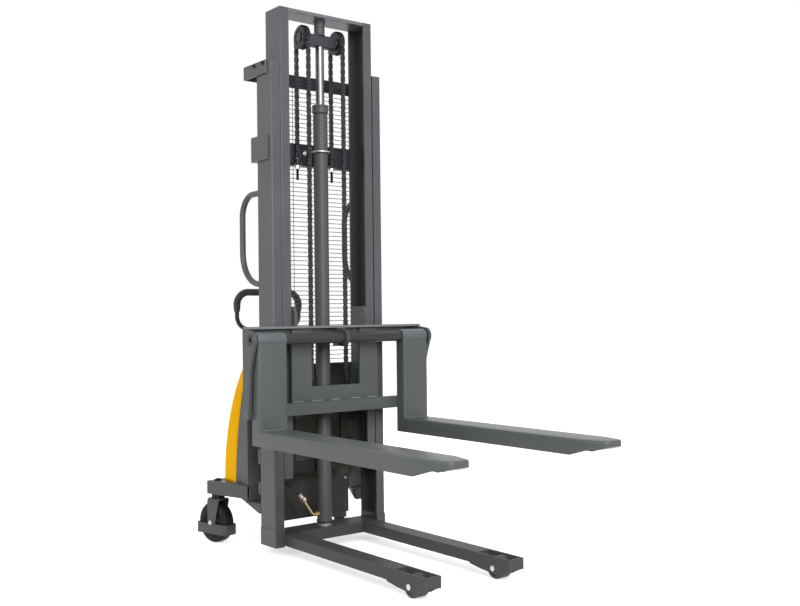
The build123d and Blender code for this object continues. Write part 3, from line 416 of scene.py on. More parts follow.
# Hose: matt black that hardly reflects.
hose_rubber = moulded("matt_hose_rubber", "#191919", "#222222", 0.62)
# Grip: soft black, greyer where hands rub it.
grip_rubber = moulded("soft_grip_rubber", "#1B1B1B", "#262626", 0.58)
# Tyres: deep black with a faint sheen.
tyre_black = moulded("black_tyre_polyurethane", "#111111", "#1B1A1A", 0.55, shine=0.2)
# Wheel hubs: black, a little smoother than the tyre.
hub_nylon = moulded("black_hub_nylon", "#151515", "#1E1E1E", 0.5, shine=0.3)
# Load rollers: dark grey, scuffed paler.
roller_nylon = moulded("dark_roller_nylon", "#333334", "#3E3E3E", 0.45)
# Control panel: finely grained black.
panel_plastic = moulded("black_panel_plastic", "#1E1E20", "#272729", 0.55)
# Stop button: glossy red.
stop_red = moulded("red_button_plastic", "#B5130F", "#C01A14", 0.3, relief=0.1)
# Stop collar: smooth yellow.
stop_yellow = moulded("yellow_collar_plastic", "#E9B400", "#EDBB10", 0.4, relief=0.1)
# Lever knob: polished black with a sharp highlight.
knob_black = moulded("black_phenolic_knob", "#141414", "#1B1B1B", 0.18, relief=0.05)
# Battery: a satin black case.
battery_case = moulded("black_battery_case", "#1F1F21", "#28282A", 0.5)
# Oil tank: milky plastic in its own colour.
tank_plastic = moulded("natural_tank_plastic", "#CFCDC4", "#C2BFB4", 0.45)
# Gauge face: matt white card.
dial_white = moulded("white_dial_card", "#E6E6E2", "#DEDED9", 0.6, relief=0.05)
print("finishes with the plastics:", len(bpy.data.materials))


# %% [markdown]
# ## Shapes from arrays
# A new piece is a skin of points and faces. It could be joined from ready-made bodies, but their edges
# would be plain. Here it comes from a profile that is turned round an axis, an outline that is carried
# along a path, or an outline that is given a thickness. All three work out whole arrays of rings, and one
# function lays faces over the rings. The signed volume tells whether the faces point outwards.

# %% Skins
ORIGIN = np.zeros(3)


def square_to(axis):
    """Two directions that are square to an axis and to each other."""
    axis = unit(axis)
    first = unit(np.cross(np.eye(3)[np.argmin(np.abs(axis))], axis))
    return first, np.cross(axis, first)


def grid_faces(rows, columns, along=False, around=True):
    """Corner numbers of the quads of a grid, whose columns and rows may run round to the start."""
    row, column = np.indices((rows if along else rows - 1, columns if around else columns - 1))
    below = (row + 1) % rows * columns
    beside = (column + 1) % columns
    row = row * columns
    return np.stack([row + column, row + beside, below + beside, below + column], -1).reshape(-1, 4).tolist()


def skin(rings, closed=False):
    """Faces over rings[row, column, xyz] with a cap at each end, or none where the rows run round as well."""
    rows, columns = rings.shape[:2]
    points = rings.reshape(-1, 3)
    faces = grid_faces(rows, columns, closed)
    if not closed:
        faces.append(list(range(columns))[::-1])
        faces.append(list(range((rows - 1) * columns, rows * columns)))
    fans = np.array([(face[0], face[k], face[k + 1]) for face in faces for k in range(1, len(face) - 1)])
    first, second, third = (points[fans[:, k]] for k in range(3))
    if np.sum(first * np.cross(second, third)) < 0:
        faces = [face[::-1] for face in faces]
    return points, faces


def join(*skins):
    """Several skins as one."""
    points, faces, count = [], [], 0
    for some_points, some_faces in skins:
        points.append(some_points)
        faces += [[corner + count for corner in face] for face in some_faces]
        count += len(some_points)
    return np.concatenate(points), faces


def pair(shape):
    """A skin and its mirror image at X = 0, whose faces are turned to point outwards again."""
    points, faces = shape
    return join(shape, (points * (-1, 1, 1), [face[::-1] for face in faces]))


def copies(shape, moves):
    """The same skin once at each offset."""
    points, faces = shape
    return join(*[(points + move, faces) for move in np.asarray(moves, float)])


def turned(shape, origin, axes):
    """A skin drawn in its own axes, set down with its three axes along the given directions."""
    points, faces = shape
    return np.asarray(origin) + points @ np.asarray(axes, float), faces


# %% Ways to make a skin
def two_sided(half):
    """Half a profile of (distance, radius), and then its mirror image, as one line from end to end."""
    half = np.asarray(half, float)
    return np.concatenate([half, half[::-1] * (-1, 1)])


def lathe(profile, centre, axis, steps, ring=False):
    """Turns a profile of (distance, radius) into centre + d axis + r (cos u, sin u). A ring is hollow."""
    profile = np.asarray(profile, float)
    axis = unit(axis)
    first, second = square_to(axis)
    angle = np.linspace(0, 2 * np.pi, steps, endpoint=False)[:, None]
    spoke = np.cos(angle) * first + np.sin(angle) * second
    rings = np.asarray(centre) + profile[:, :1, None] * axis + profile[:, 1:, None] * spoke
    return skin(rings, ring)


def sweep(path, outline, across, closed=False, swell=1.0):
    """Carries an outline of (u, v) along a path: path + u across + v other, each row scaled by swell.

    Across is kept as near to the given direction as the path allows, and the other one is square to both.
    """
    path = np.asarray(path, float)
    ahead = np.roll(path, -1, 0) - np.roll(path, 1, 0) if closed else np.gradient(path, axis=0)
    ahead = unit(ahead)
    across = unit(across - ahead * (ahead @ np.asarray(across, float))[:, None])
    other = np.cross(ahead, across)
    outline = np.asarray(outline, float) * np.broadcast_to(swell, len(path))[:, None, None]
    rings = path[:, None] + outline[..., :1] * across[:, None] + outline[..., 1:] * other[:, None]
    return skin(rings, closed)


def circle(radius, steps):
    """Points round a circle."""
    angle = np.linspace(0, 2 * np.pi, steps, endpoint=False)
    return radius * np.stack([np.cos(angle), np.sin(angle)], 1)


def round_corners(points, radius, steps, closed=True):
    """Each corner of a line becomes an arc that touches both its sides.

    It swings from one touching radius to the other: centre + (sin((1 - t) a) first + sin(t a) last) / sin(a).
    """
    points = np.asarray(points, float)
    before, corner, after = np.roll(points, 1, 0), points, np.roll(points, -1, 0)
    if not closed:
        before, corner, after = points[:-2], points[1:-1], points[2:]
    behind, ahead = unit(before - corner), unit(after - corner)
    half = np.arccos(np.clip(np.sum(ahead * behind, 1), -1, 1)) / 2
    radius = np.broadcast_to(radius, len(corner))
    reach = (radius / np.tan(half))[:, None]
    centre = corner + unit(ahead + behind) * (radius / np.sin(half))[:, None]
    first, last = corner + behind * reach - centre, corner + ahead * reach - centre
    angle = (np.pi - 2 * half)[:, None, None]
    t = np.linspace(0, 1, steps)[None, :, None]
    swing = np.sin((1 - t) * angle) * first[:, None] + np.sin(t * angle) * last[:, None]
    arcs = (centre[:, None] + swing / np.sin(angle)).reshape(-1, corner.shape[1])
    return arcs if closed else np.concatenate([points[:1], arcs, points[-1:]])


def slab(outline, origin, first, second, depth, edge=0.0):
    """A plate: origin + u first + v second + depth along their normal, with a quarter round at both faces."""
    outline = np.asarray(outline, float)
    ahead = np.roll(outline, -1, 0)
    if np.sum(outline[:, 0] * ahead[:, 1] - ahead[:, 0] * outline[:, 1]) < 0:
        outline = outline[::-1]
    forward = unit(np.roll(outline, -1, 0) - outline)
    normal = np.stack([forward[:, 1], -forward[:, 0]], 1)
    earlier = np.roll(normal, 1, 0)
    mitre = (normal + earlier) / (1 + np.sum(normal * earlier, 1, keepdims=True))
    angle = np.linspace(0, np.pi / 2, 3) if edge else np.array([np.pi / 2])
    drawn, sunk = edge * (1 - np.sin(angle)), edge * (1 - np.cos(angle))
    inset = np.concatenate([drawn, drawn[::-1]])
    level = np.concatenate([sunk, depth - sunk[::-1]])
    flat = outline[None] - mitre[None] * inset[:, None, None]
    first, second = unit(first), unit(second)
    onward = np.cross(first, second)
    plates = np.asarray(origin) + flat[..., :1] * first + flat[..., 1:] * second
    return skin(plates + level[:, None, None] * onward)


def box_outline(low, high):
    """The four corners of a rectangle."""
    (a, b), (c, d) = low, high
    return np.array([(a, b), (c, b), (c, d), (a, d)], float)


# %% Fasteners and welds
def nut(centre, axis, across, height):
    """A hexagon nut or bolt head with its edges broken."""
    return slab(circle(across / math.sqrt(3), 6), centre, *square_to(axis), height, 0.08 * across)


def cap_screw(centre, axis, radius, height):
    """A round bolt head with a domed rim."""
    profile = [(0, radius), (height * 0.7, radius), (height * 0.95, radius * 0.8), (height, radius * 0.4)]
    return lathe(profile, centre, axis, 16)


def weld(start, end, radius, pitch=5.0 * MM):
    """A weld bead: a round bar whose radius swells and shrinks at each ripple."""
    start, end = np.asarray(start, float), np.asarray(end, float)
    length = np.linalg.norm(end - start)
    t = np.linspace(0, 1, int(length / pitch * 4) + 2)
    taper = np.clip(np.minimum(t, 1 - t) * length / (2 * radius), 0.3, 1)
    swell = taper * (1 + 0.14 * np.sin(t * length / pitch * 2 * np.pi))
    path = start + t[:, None] * (end - start)
    return sweep(path, circle(radius, 8), square_to(end - start)[0], swell=swell)


# %% Pieces
CREASE = math.radians(35)


def piece(name, shape, material, body, stands_for=()):
    """Puts a skin into a mesh, smooth up to the crease, and lets it ride on a body given by name; any other
    body leaves it where it stands.
    """
    points, faces = shape
    mesh = bpy.data.meshes.new(name)
    mesh.from_pydata(points.tolist(), [], faces)
    mesh.polygons.foreach_set("use_smooth", np.ones(len(mesh.polygons), bool))
    mesh.set_sharp_from_angle(angle=CREASE)
    mesh.materials.append(material)
    made = bpy.data.objects.new(name, mesh)
    scene.collection.objects.link(made)
    if isinstance(body, str):
        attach(made, body)
    else:
        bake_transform(made)
    if stands_for:
        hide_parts(*stands_for)
    print(name, len(mesh.polygons), "faces")
    return made


# %% [markdown]
# ## Steelwork
# Rails, beams, plates and arms are sawn and welded sections. They could be drawn again, but their solids
# already have the right shape, with every hole and fold. They keep it, with paint on, and modifiers break
# their sharp edges: the triangles are joined, flat areas become single faces, and each edge gets a small
# round, as sanded and coated steel has.

# %% Painted solids
def painted(node, material, edge):
    """Gives a solid its finish and breaks its edges with a round of edge mm."""
    shown = frame["nodes"][node]
    shown.material_slots[0].material = material
    joined = shown.modifiers.new("join", "WELD")
    joined.merge_threshold = 0.01 * MM
    flats = shown.modifiers.new("flats", "DECIMATE")
    flats.decimate_type = "DISSOLVE"
    flats.angle_limit = math.radians(0.5)
    rounding = shown.modifiers.new("edges", "BEVEL")
    rounding.width = edge * MM
    rounding.segments = 2
    rounding.limit_method = "ANGLE"
    rounding.angle_limit = math.radians(40)


STEELWORK = [
    (grey_paint, 1.6, ["chassis_arms", "carriage_plate", "carriage_lower_bar"]),
    (grey_paint, 1.6, ["roller_plates", "tiller_bracket"]),
    (sheet_paint, 1.6, ["side_panels", "carriage_end_plates"]),
    (leg_paint, 1.6, ["legs", "base_crossbeam"]),
    (rail_paint, 3.0, ["outer_rails"]),
    (rail_paint, 2.5, ["inner_rails"]),
    (plate_paint, 1.6, ["inner_top_plate"]),
    (lower_tie_paint, 1.6, ["inner_lower_tie"]),
    (beam_paint, 1.6, ["carriage_top_beam"]),
    (tie_paint, 1.6, ["top_tie_beam", "mid_tie_beam"]),
    (tray_paint, 1.0, ["rear_tray"]),
    (panel_paint, 1.0, ["front_panel"]),
]
for paint, edge, nodes in STEELWORK:
    for node in nodes:
        painted(node, paint, edge)
    print(paint.name, "on", len(nodes), "solids")

# %% [markdown]
# ## Lift chains
# A leaf chain has no rollers, only laced steel plates on pins. Bumps on a strip could suggest that, but the
# gaps between the plates show in its outline, so the plates are real. Even links have four and odd links
# three, which fit between them. A link is drawn once in its own axes and set down along a row of pin
# places, on a straight run or round the sheave. A run is longer or shorter when the mast rises.

# %% Chain links
LINK_PITCH, PLATE_THICK, PLATE_RADIUS, WAIST = mm(15.9, 2.2, 5.8, 5.2)
OUTER_LANES, INNER_LANES = mm(-7.9, -2.7, 2.7, 7.9), mm(-5.3, 0, 5.3)
PIN_RADIUS, PIN_HALF = mm(2.4, 9.3)

bend = np.radians(np.linspace(-100, 100, 5))
end_curve = PLATE_RADIUS * np.stack([np.cos(bend), np.sin(bend)], 1) + (LINK_PITCH / 2, 0)
half_plate = np.concatenate([end_curve, [(0, WAIST)]])
plate_outline = np.concatenate([half_plate, -half_plate])


def link(lanes):
    """A link's plates, in the axes across, along and square to the chain."""
    one = slab(plate_outline, -PLATE_THICK / 2 * X, Y, Z, PLATE_THICK)
    return copies(one, np.outer(lanes, X))


def chain(pins):
    """Links and pins along a row of pin places in the YZ plane, and the same on the other side."""
    along = unit(np.diff(pins, axis=0))
    middle = (pins[:-1] + pins[1:]) / 2
    kinds = (link(OUTER_LANES), link(INNER_LANES))
    links = [
        turned(kinds[k % 2], middle[k], (X, along[k], np.cross(X, along[k]))) for k in range(len(middle))
    ]
    pin = lathe([(-PIN_HALF, PIN_RADIUS), (PIN_HALF, PIN_RADIUS)], ORIGIN, X, 8)
    return pair(join(copies(pin, pins), *links))


sheave_low, sheave_high = span("sheave_right")
sheave_middle = middle_of("sheave_right")
chain_x, sheave_y, sheave_z = sheave_middle
front_y, front_foot = middle_of("front_chain_runs")[1], span("front_chain_runs")[0][2]
rear_y, rear_foot = middle_of("rear_chain_runs")[1], span("rear_chain_runs")[0][2]
chain_radius = (rear_y - front_y) / 2


def straight_pins(y, low):
    """Pin places from the anchor up to the sheave's height."""
    z = np.linspace(low, sheave_z, round((sheave_z - low) / LINK_PITCH) + 1)
    return np.stack([np.full_like(z, chain_x), np.full_like(z, y), z], 1)


turn = np.linspace(0, np.pi, round(np.pi * chain_radius / LINK_PITCH) + 1)
wrap_pins = sheave_middle + chain_radius * np.stack([0 * turn, -np.cos(turn), np.sin(turn)], 1)
piece("chain_wrap_links", chain(wrap_pins), chain_steel, "inner_mast", ("chain_wraps",))
piece(
    "front_chain_links",
    chain(straight_pins(front_y, front_foot)),
    chain_steel,
    ("inner_mast", "carriage", (0, front_y, sheave_z), (0, front_y, front_foot)),
    ("front_chain_runs",),
)
piece(
    "rear_chain_links",
    chain(straight_pins(rear_y, rear_foot)),
    chain_steel,
    ("chassis", "inner_mast", (0, rear_y, rear_foot), (0, rear_y, sheave_z)),
    ("rear_chain_runs",),
)

# %% Chain anchor bolts
THREAD_PITCH, THREAD_ROOT, THREAD_CREST = mm(2.6, 5.2, 6.0)
CLEVIS_HEIGHT, CLEVIS_HALF = mm(24, 7)
CARRIAGE_SEAT = 0.600


def chain_anchor(y, tail, seat, head):
    """A threaded bolt, the clevis and cross pin at its head, and the two nuts and washer below its seat."""
    rises = np.arange(tail, head - CLEVIS_HEIGHT, THREAD_PITCH / 2)
    depth = np.where(np.arange(len(rises)) % 2, THREAD_ROOT, THREAD_CREST)
    stem = lathe(np.stack([rises, depth], 1), (chain_x, y, 0), Z, 16)
    nuts = [nut((chain_x, y, seat - drop * MM), Z, 19 * MM, 7.4 * MM) for drop in (16, 8)]
    washer = lathe(mm((0, 12), (2, 12)), (chain_x, y, seat - 1.5 * MM), Z, 24)
    outline = round_corners(box_outline((-CLEVIS_HALF, 0), (CLEVIS_HALF, CLEVIS_HEIGHT)), 3 * MM, 4)
    corner = (chain_x - CLEVIS_HALF, y, head - CLEVIS_HEIGHT)
    block = slab(outline, corner, Y, Z, 2 * CLEVIS_HALF, 1.5 * MM)
    cross = lathe(two_sided(mm((12, 5), (10, 6))), (chain_x, y, head - 8 * MM), X, 16)
    return stem, join(block, cross), join(washer, *nuts)


for name, y, node, body, seat in (
    ("mast_chain_anchors", rear_y, "mast_chain_bolts", "chassis", span("mid_tie_beam")[0][2]),
    ("carriage_chain_anchors", front_y, "carriage_chain_bolts", "carriage", CARRIAGE_SEAT),
):
    low, high = span(node)
    bolt, clevis, nuts = chain_anchor(y, low[2], seat, high[2])
    piece(name, pair(bolt), black_oxide, body, (node,))
    piece(name + "_clevises", pair(clevis), chain_steel, body)
    piece(name + "_nuts", pair(nuts), zinc, body)

# %% [markdown]
# ## Wheels that roll in the mast
# The sheaves and the rail rollers are turned from steel bar. A rounded disc would lack their steps, so each
# is one profile on the lathe: a hub, a recess that shows the bearing's seal, and a rim. The sheaves have a
# flat-bottomed groove for the chain.

# %% Sheaves
SHEAVE_ROOT = 41.7
half, _, flange = (sheave_high - sheave_low) / 2 / MM
sheave_face = [(half, 12.1), (half, 20), (half - 2.5, 21.5), (half - 2.5, 36), (half, 38)]
sheave_rim = [(half, flange - 1.5), (half - 1, flange), (half - 2, flange), (9.3, flange - 2)]
sheave_groove = [(9.3, SHEAVE_ROOT + 0.8), (8.5, SHEAVE_ROOT)]
sheave_profile = two_sided(sheave_face + sheave_rim + sheave_groove) * MM
for side, name in ((1, "right"), (-1, "left")):
    wheel = lathe(sheave_profile, sheave_middle * (side, 1, 1), X, 64, ring=True)
    piece(f"chain_sheave_{name}", wheel, sheave_steel, f"sheave_{name}", (f"sheave_{name}",))
cap_profile = mm((0, 17), (2.5, 17), (3.2, 15), (3.2, 9), (1.5, 8), (1.5, 3))
cap = lathe(cap_profile, (sheave_high[0] + 2 * MM, sheave_y, sheave_z), X, 32)
piece("sheave_pin_caps", pair(cap), roller_steel, "inner_mast")

# %% Crosshead between the sheaves
HEAD_LOW, HEAD_HIGH, HEAD_DEPTH = 2.185, 2.234, 44 * MM
HEAD_GAP = 4 * MM
head_half = sheave_low[0] - HEAD_GAP
head_outline = round_corners(box_outline((-head_half, HEAD_LOW), (head_half, HEAD_HIGH)), 5 * MM, 5)
head_bar = slab(head_outline, (0, sheave_y + HEAD_DEPTH / 2, 0), X, Z, HEAD_DEPTH, 2 * MM)
plate_under = span("inner_top_plate")[0][2]
post_foot = mm((-2, 29), (1, 26), (5, 24.2), (10, 23.5)) + (HEAD_HIGH, 0)
post_head = mm((-9, 23.5), (-5, 25), (0, 28)) + (plate_under, 0)
post = lathe(np.concatenate([post_foot, post_head]), (0, sheave_y, 0), Z, 40)
pin_half = mm((0, 10.5), (-1.5, 12)) + (span("crosshead")[1][0], 0)
sheave_pins = lathe(two_sided(pin_half), (0, sheave_y, sheave_z), X, 32)
crosshead = join(head_bar, post, sheave_pins)
piece("crosshead_bar", crosshead, crosshead_paint, "inner_mast", ("crosshead",))

# %% Rail rollers
ROLLER_HALF = 15.0


def roller_profile(half, radius, bore, hub, rim, dip, edge, soft):
    """A wheel's profile in mm: bore, hub, a recess dip deep out to the rim, and a tread with round edges."""
    recess = [(half, bore), (half, hub), (half - dip, hub + 1), (half - dip, rim - 1), (half, rim)]
    tread = [(half, radius - edge), (half - soft, radius - soft), (half - edge, radius)]
    return two_sided(recess + tread) * MM


for node in ("mast_rollers_lower", "mast_rollers_upper", "carriage_rollers_lower", "carriage_rollers_upper"):
    low, high = span(node)
    radius = (high[2] - low[2]) / 2 / MM
    profile = roller_profile(ROLLER_HALF, radius, 15.2, 24, 38, 2, 2.5, 0.8)
    wheel = lathe(profile, (high[0] - ROLLER_HALF * MM, *middle_of(node)[1:]), X, 56, ring=True)
    piece(node + "_turned", pair(wheel), roller_steel, node, (node,))

# %% [markdown]
# ## Lift cylinder
# The barrel is a painted steel tube on a plated foot ring. Its gland is a screwed collar with a groove
# round it. The rod above is ground and chromed, so it stays bright, and a rubber ring wipes it where it
# enters. All of these are turned parts, so the lathe gives every groove at its real size. A U-bolt, which
# is a round outline carried along a bow, holds the barrel to the mid beam.

# %% Barrel and gland
low, high = span("lift_cylinder")
axis_y = middle_of("lift_cylinder")[1]
base = (0, axis_y, 0)
barrel_radius = (high[0] - low[0]) / 2
barrel_foot = mm((0, -1), (14, -1), (16, 3), (20, 4), (25, 1), (27, 0)) + (low[2], barrel_radius)
barrel_top = mm((-3, 0), (0, -3)) + (high[2], barrel_radius)
barrel = lathe(np.concatenate([barrel_foot, barrel_top]), base, Z, 56)
piece("cylinder_barrel", barrel, barrel_paint, "chassis", ("lift_cylinder",))
foot_ring = lathe(mm((0, 0), (0, 4), (9, 4), (9, 0)) + (low[2], barrel_radius), base, Z, 48, ring=True)
piece("cylinder_foot_ring", foot_ring, zinc, "chassis")

ROD_RADIUS = 19 * MM
low, high = span("cylinder_gland")
gland_radius = (high[0] - low[0]) / 2
gland_low = mm((1, -5), (4, -5), (5, -1), (6, 0)) + (low[2], gland_radius)
gland_high = mm((-12, 0), (-11, -1.5), (-9, -1.5), (-8, 0), (-2, 0), (0, -2)) + (high[2], gland_radius)
bore_high = mm((0, 6), (-3, 0.4)) + (high[2], ROD_RADIUS)
bore_low = mm((1, 0.4)) + (low[2], ROD_RADIUS)
collar = lathe(np.concatenate([bore_low, gland_low, gland_high, bore_high]), base, Z, 56, ring=True)
piece("gland_collar", collar, barrel_paint, "chassis", ("cylinder_gland",))
wiper = lathe(mm((-2, 0.5), (-2, 5), (1, 3), (2, 0.5)) + (high[2], ROD_RADIUS), base, Z, 48, ring=True)
piece("rod_wiper", wiper, hose_rubber, "chassis")

# %% Rod and clamp
CLAMP_BAR = 4 * MM
low, high = span("piston_rod")
rod_foot = mm((0, 25), (40, 25), (41, 19)) + (low[2], 0)
rod = lathe([*rod_foot, (high[2] + 18 * MM, ROD_RADIUS)], base, Z, 64)
piece("chromed_rod", rod, rod_chrome, "inner_mast", ("piston_rod",))
low, high = span("cylinder_clamp")
reach, clamp_z = high[0] - CLAMP_BAR, middle_of("cylinder_clamp")[2]
bow = np.radians(np.linspace(0, -180, 40))
arch = np.stack([reach * np.cos(bow), axis_y + reach * np.sin(bow), np.full_like(bow, clamp_z)], 1)
u_path = [(reach, high[1], clamp_z), *arch, (-reach, high[1], clamp_z)]
u_bolt = sweep(u_path, circle(CLAMP_BAR, 12), Z)
beam_face = mast_front + 121 * MM
washer = lathe(mm((0, 12), (2, 12)), (reach, beam_face, clamp_z), -Y, 24)
clamp_nut = nut((reach, beam_face - 2 * MM, clamp_z), -Y, 15 * MM, 8 * MM)
clamp = join(u_bolt, pair(join(washer, clamp_nut)))
piece("cylinder_u_bolt", clamp, zinc, "chassis", ("cylinder_clamp",))

# %% [markdown]
# ## Mesh guard
# A welded grid of coated wire keeps hands out of the mast. A sheet with a grid of holes would look flat
# from the side, so every wire is there: rows cross four uprights that lie just behind them, and small bent
# tabs with screws hold the grid to the rails. A wire is a six-sided bar, because there are many.

# %% Wires and tabs
WIRE, UPRIGHT_X, GUARD_HALF = mm(1.5, 79, 225)
GUARD_ROWS = 65
TAB_RISES = mm(50, 320, 810, 1170)
TAB_HALF, TAB_SKIN = mm(15, 1.5)
low, high = span("mesh_guard")
beam_back = span("mid_tie_beam")[1][1]
rail_back = span("outer_rails")[1][1]
rows = np.linspace(low[2] + WIRE, high[2] - WIRE, GUARD_ROWS)
hexagon = circle(WIRE, 6)
row_y, upright_y = beam_back + WIRE, beam_back + 3.4 * WIRE
row_wire = sweep([(-GUARD_HALF, row_y, 0), (GUARD_HALF, row_y, 0)], hexagon, Z)
upright = sweep([(0, upright_y, rows[0]), (0, upright_y, rows[-1])], hexagon, X)
uprights = copies(upright, np.outer([-GUARD_HALF, -UPRIGHT_X, UPRIGHT_X, GUARD_HALF], X))
wires = join(copies(row_wire, np.outer(rows, Z)), uprights)
tab_x, tab_y, tab_z = high[0] - TAB_SKIN, beam_back + TAB_SKIN, low[2] + TAB_HALF
tab_path = [(GUARD_HALF, tab_y, tab_z), (tab_x, tab_y, tab_z), (tab_x, rail_back, tab_z)]
tab_path = round_corners(tab_path, 5 * MM, 6, closed=False)
tab = sweep(tab_path, box_outline((-TAB_HALF, -TAB_SKIN), (TAB_HALF, TAB_SKIN)), Z)
screw = cap_screw((GUARD_HALF + 14 * MM, beam_back + 2 * TAB_SKIN, tab_z), Y, 5 * MM, 4 * MM)
tabs = copies(join(tab, screw), np.outer(TAB_RISES, Z))
piece("guard_wires", join(wires, pair(tabs)), wire_paint, "chassis", ("mesh_guard",))

# %% [markdown]
# ## Grab handles
# Each handle is one bent tube, welded to the back of the rail. A curve with a bevel would do, but the sweep
# that makes the wires gives the tube its even faces. The path has round corners, and a ring of weld closes
# each end.

# %% Bent tubes
GRAB_RADIUS, GRAB_CORNER, GRAB_SWEEP = mm(13, 95, 140)
low, high = span("grab_handles")
grab_x, grab_back, grab_top = high - GRAB_RADIUS
grab_foot = low[2] + GRAB_RADIUS
corners = [(rail_back, grab_top), (grab_back, grab_top), (grab_back, grab_foot), (rail_back, grab_foot)]
grab_path = [(grab_x, *corner) for corner in corners]
bends = round_corners(grab_path, [GRAB_CORNER, GRAB_SWEEP], 20, closed=False)
handle = sweep(bends, circle(GRAB_RADIUS, 20), X)
bead_profile = circle(3.5 * MM, 8) + (2 * MM, GRAB_RADIUS + 0.5 * MM)
beads = [lathe(bead_profile, (grab_x, rail_back, z), Y, 28, ring=True) for z in (grab_top, grab_foot)]
piece("grab_tubes", pair(join(handle, *beads)), sheet_paint, "chassis", ("grab_handles",))

# %% [markdown]
# ## Forks
# A fork is folded from plate: the blade is an upside-down U that drops over a leg, the shank is a U that is
# open to the back, and a thick sleeve at its head slides on the round bar. Towards the tip the blade
# narrows, its corners are ground round, and its underside rises. A cut box would lose the even wall, so the
# blade is one section whose width, top and bottom change along it.

# %% Folded section
FORK_WALL, FORK_BEND = mm(7, 10)
FORK_TOP = 0.548


def fold(half, top, bottom, draw=0.0):
    """Row by row, the outside of the folded plate: up one side, round two corners and down the other."""
    half, top, bottom = (np.asarray(value, float)[:, None] for value in (half, top, bottom))
    turn = np.radians(np.linspace(180, 90, 6))
    bend = FORK_BEND - draw
    x = -half + FORK_BEND + bend * np.cos(turn)
    z = top - FORK_BEND + bend * np.sin(turn)
    wide = half - draw
    across = np.concatenate([-wide, x, -x[:, ::-1], wide], 1)
    return across, np.concatenate([bottom, z, z[:, ::-1], bottom], 1)


def bent_section(half, top, bottom):
    """The folded plate's outer skin, and its inner skin one wall inside it, walked back to the start."""
    (x, z), (x_in, z_in) = fold(half, top, bottom), fold(half, top, bottom, FORK_WALL)
    return np.concatenate([x, x_in[:, ::-1]], 1), np.concatenate([z, z_in[:, ::-1]], 1)


# %% Fork plates
FORK_TAPER = 95 * MM
NOSE_HALF, NOSE_START, NOSE_FULL, NOSE_PLAN, NOSE_TOP = mm(42.5, 62, 36, 22, 11)
UNDER_PLACES = mm(0, 10, 50, 70, 163)
UNDER_RISES = mm(39, 36, 24.5, 27, 0)
SLEEVE_RADIUS, SLEEVE_BORE, SEAM_DROP = mm(30, 22.5, 12)
_, bar_y, bar_z = middle_of("fork_bar")
fork_face, fork_back = mast_front - mm(135, 80)


def fork(node):
    """Blade, solid nose, shank, sleeve and the two welds of one fork."""
    low, high = span(node)
    middle, half = (low[0] + high[0]) / 2, (high[0] - low[0]) / 2
    tip, under = low[1], low[2]

    def along_blade(section, ahead, inset=0.0, dip=0.0):
        """Rings of a section at distances behind the tip, with the blade's width, top and underside there."""
        half_there = np.interp(ahead, [0, FORK_TAPER], [NOSE_HALF, half]) - inset
        underside = under + np.interp(ahead, UNDER_PLACES, UNDER_RISES)
        x, z = section(half_there, FORK_TOP - dip + 0 * ahead, underside)
        return skin(np.stack([middle + x, np.broadcast_to((tip + ahead)[:, None], x.shape), z], -1))

    ahead = np.array([fork_back - tip, UNDER_PLACES[-1], FORK_TAPER, UNDER_PLACES[-2], NOSE_START])
    blade = along_blade(bent_section, ahead)
    turn = np.linspace(0, np.pi / 2, 12)
    ahead = np.concatenate([[NOSE_START, UNDER_PLACES[2], NOSE_FULL], NOSE_PLAN * (1 - np.sin(turn))])
    inset = np.concatenate([[0, 0, 0], NOSE_PLAN * (1 - np.cos(turn))])
    dip = NOSE_TOP - np.sqrt(NOSE_TOP**2 - np.clip(NOSE_TOP - ahead, 0, NOSE_TOP) ** 2)
    nose = along_blade(fold, ahead, inset, dip)
    slim, seam_z = half - 0.5 * MM, bar_z - SEAM_DROP
    x, y = bent_section([slim, slim], [-fork_face, -fork_face], [-fork_back, -fork_back])
    rise = np.array([FORK_TOP - FORK_BEND, seam_z])[:, None]
    shank = skin(np.stack([middle + x, -y, np.broadcast_to(rise, x.shape)], -1))
    bore_edge = mm((-1, 0), (0, 1)) + (half, SLEEVE_BORE)
    outer_edge = mm((0, -3), (-0.9, -0.9), (-3, 0)) + (half, SLEEVE_RADIUS)
    sleeve_profile = two_sided(np.concatenate([bore_edge, outer_edge]))
    sleeve = lathe(sleeve_profile, (middle, bar_y, bar_z), X, 72, ring=True)
    ends = middle + mm(8, -8) + (-half, half)
    heel = weld(*[(x, fork_face, FORK_TOP) for x in ends], 4 * MM)
    seam = weld(*[(x, fork_face + 1 * MM, seam_z) for x in ends], 3 * MM)
    return join(blade, nose, shank, sleeve, heel, seam)


for name in ("fork_left", "fork_right"):
    piece(name + "_plate", fork(name), fork_paint, name, (name,))

# %% [markdown]
# ## Carriage fittings
# The round bar is a drawn bar with a darker, smoother coat and a bored hole in each end. Short stitches of
# weld hold the U-shaped plate to the lower bar and to the top beam, thick beads close the ends of that
# beam, and a square tail runs back from the lug that holds the bar in its middle. A plain rod in a corner
# looks glued on, so a bead swells at each ripple.

# %% Bar, stitches and lug
BAR_EDGE = 2 * MM
STITCH = 62 * MM
LOWER_STITCHES = (-0.19, -0.098, -0.004, 0.102, 0.19)
BEAM_STITCHES = (-0.20, -0.15, 0.15, 0.20)
LUG_HALF, LUG_UNDER, LUG_OVER, LUG_BACK = mm(7, 36, 22.5, 29)
END_BEAD, END_BEAD_X = mm(8, 443)
low, high = span("fork_bar")
bar_radius = (high[2] - low[2]) / 2
bar_hole = mm((-30, 0.5), (-30, 9), (-1, 9), (0, 10)) + (high[0], 0)
bar_rim = [(high[0], bar_radius - BAR_EDGE), (high[0] - BAR_EDGE, bar_radius)]
bar = lathe(two_sided([*bar_hole, *bar_rim]), (0, bar_y, bar_z), X, 56)
piece("fork_bar_round", bar, bar_paint, "carriage", ("fork_bar",))


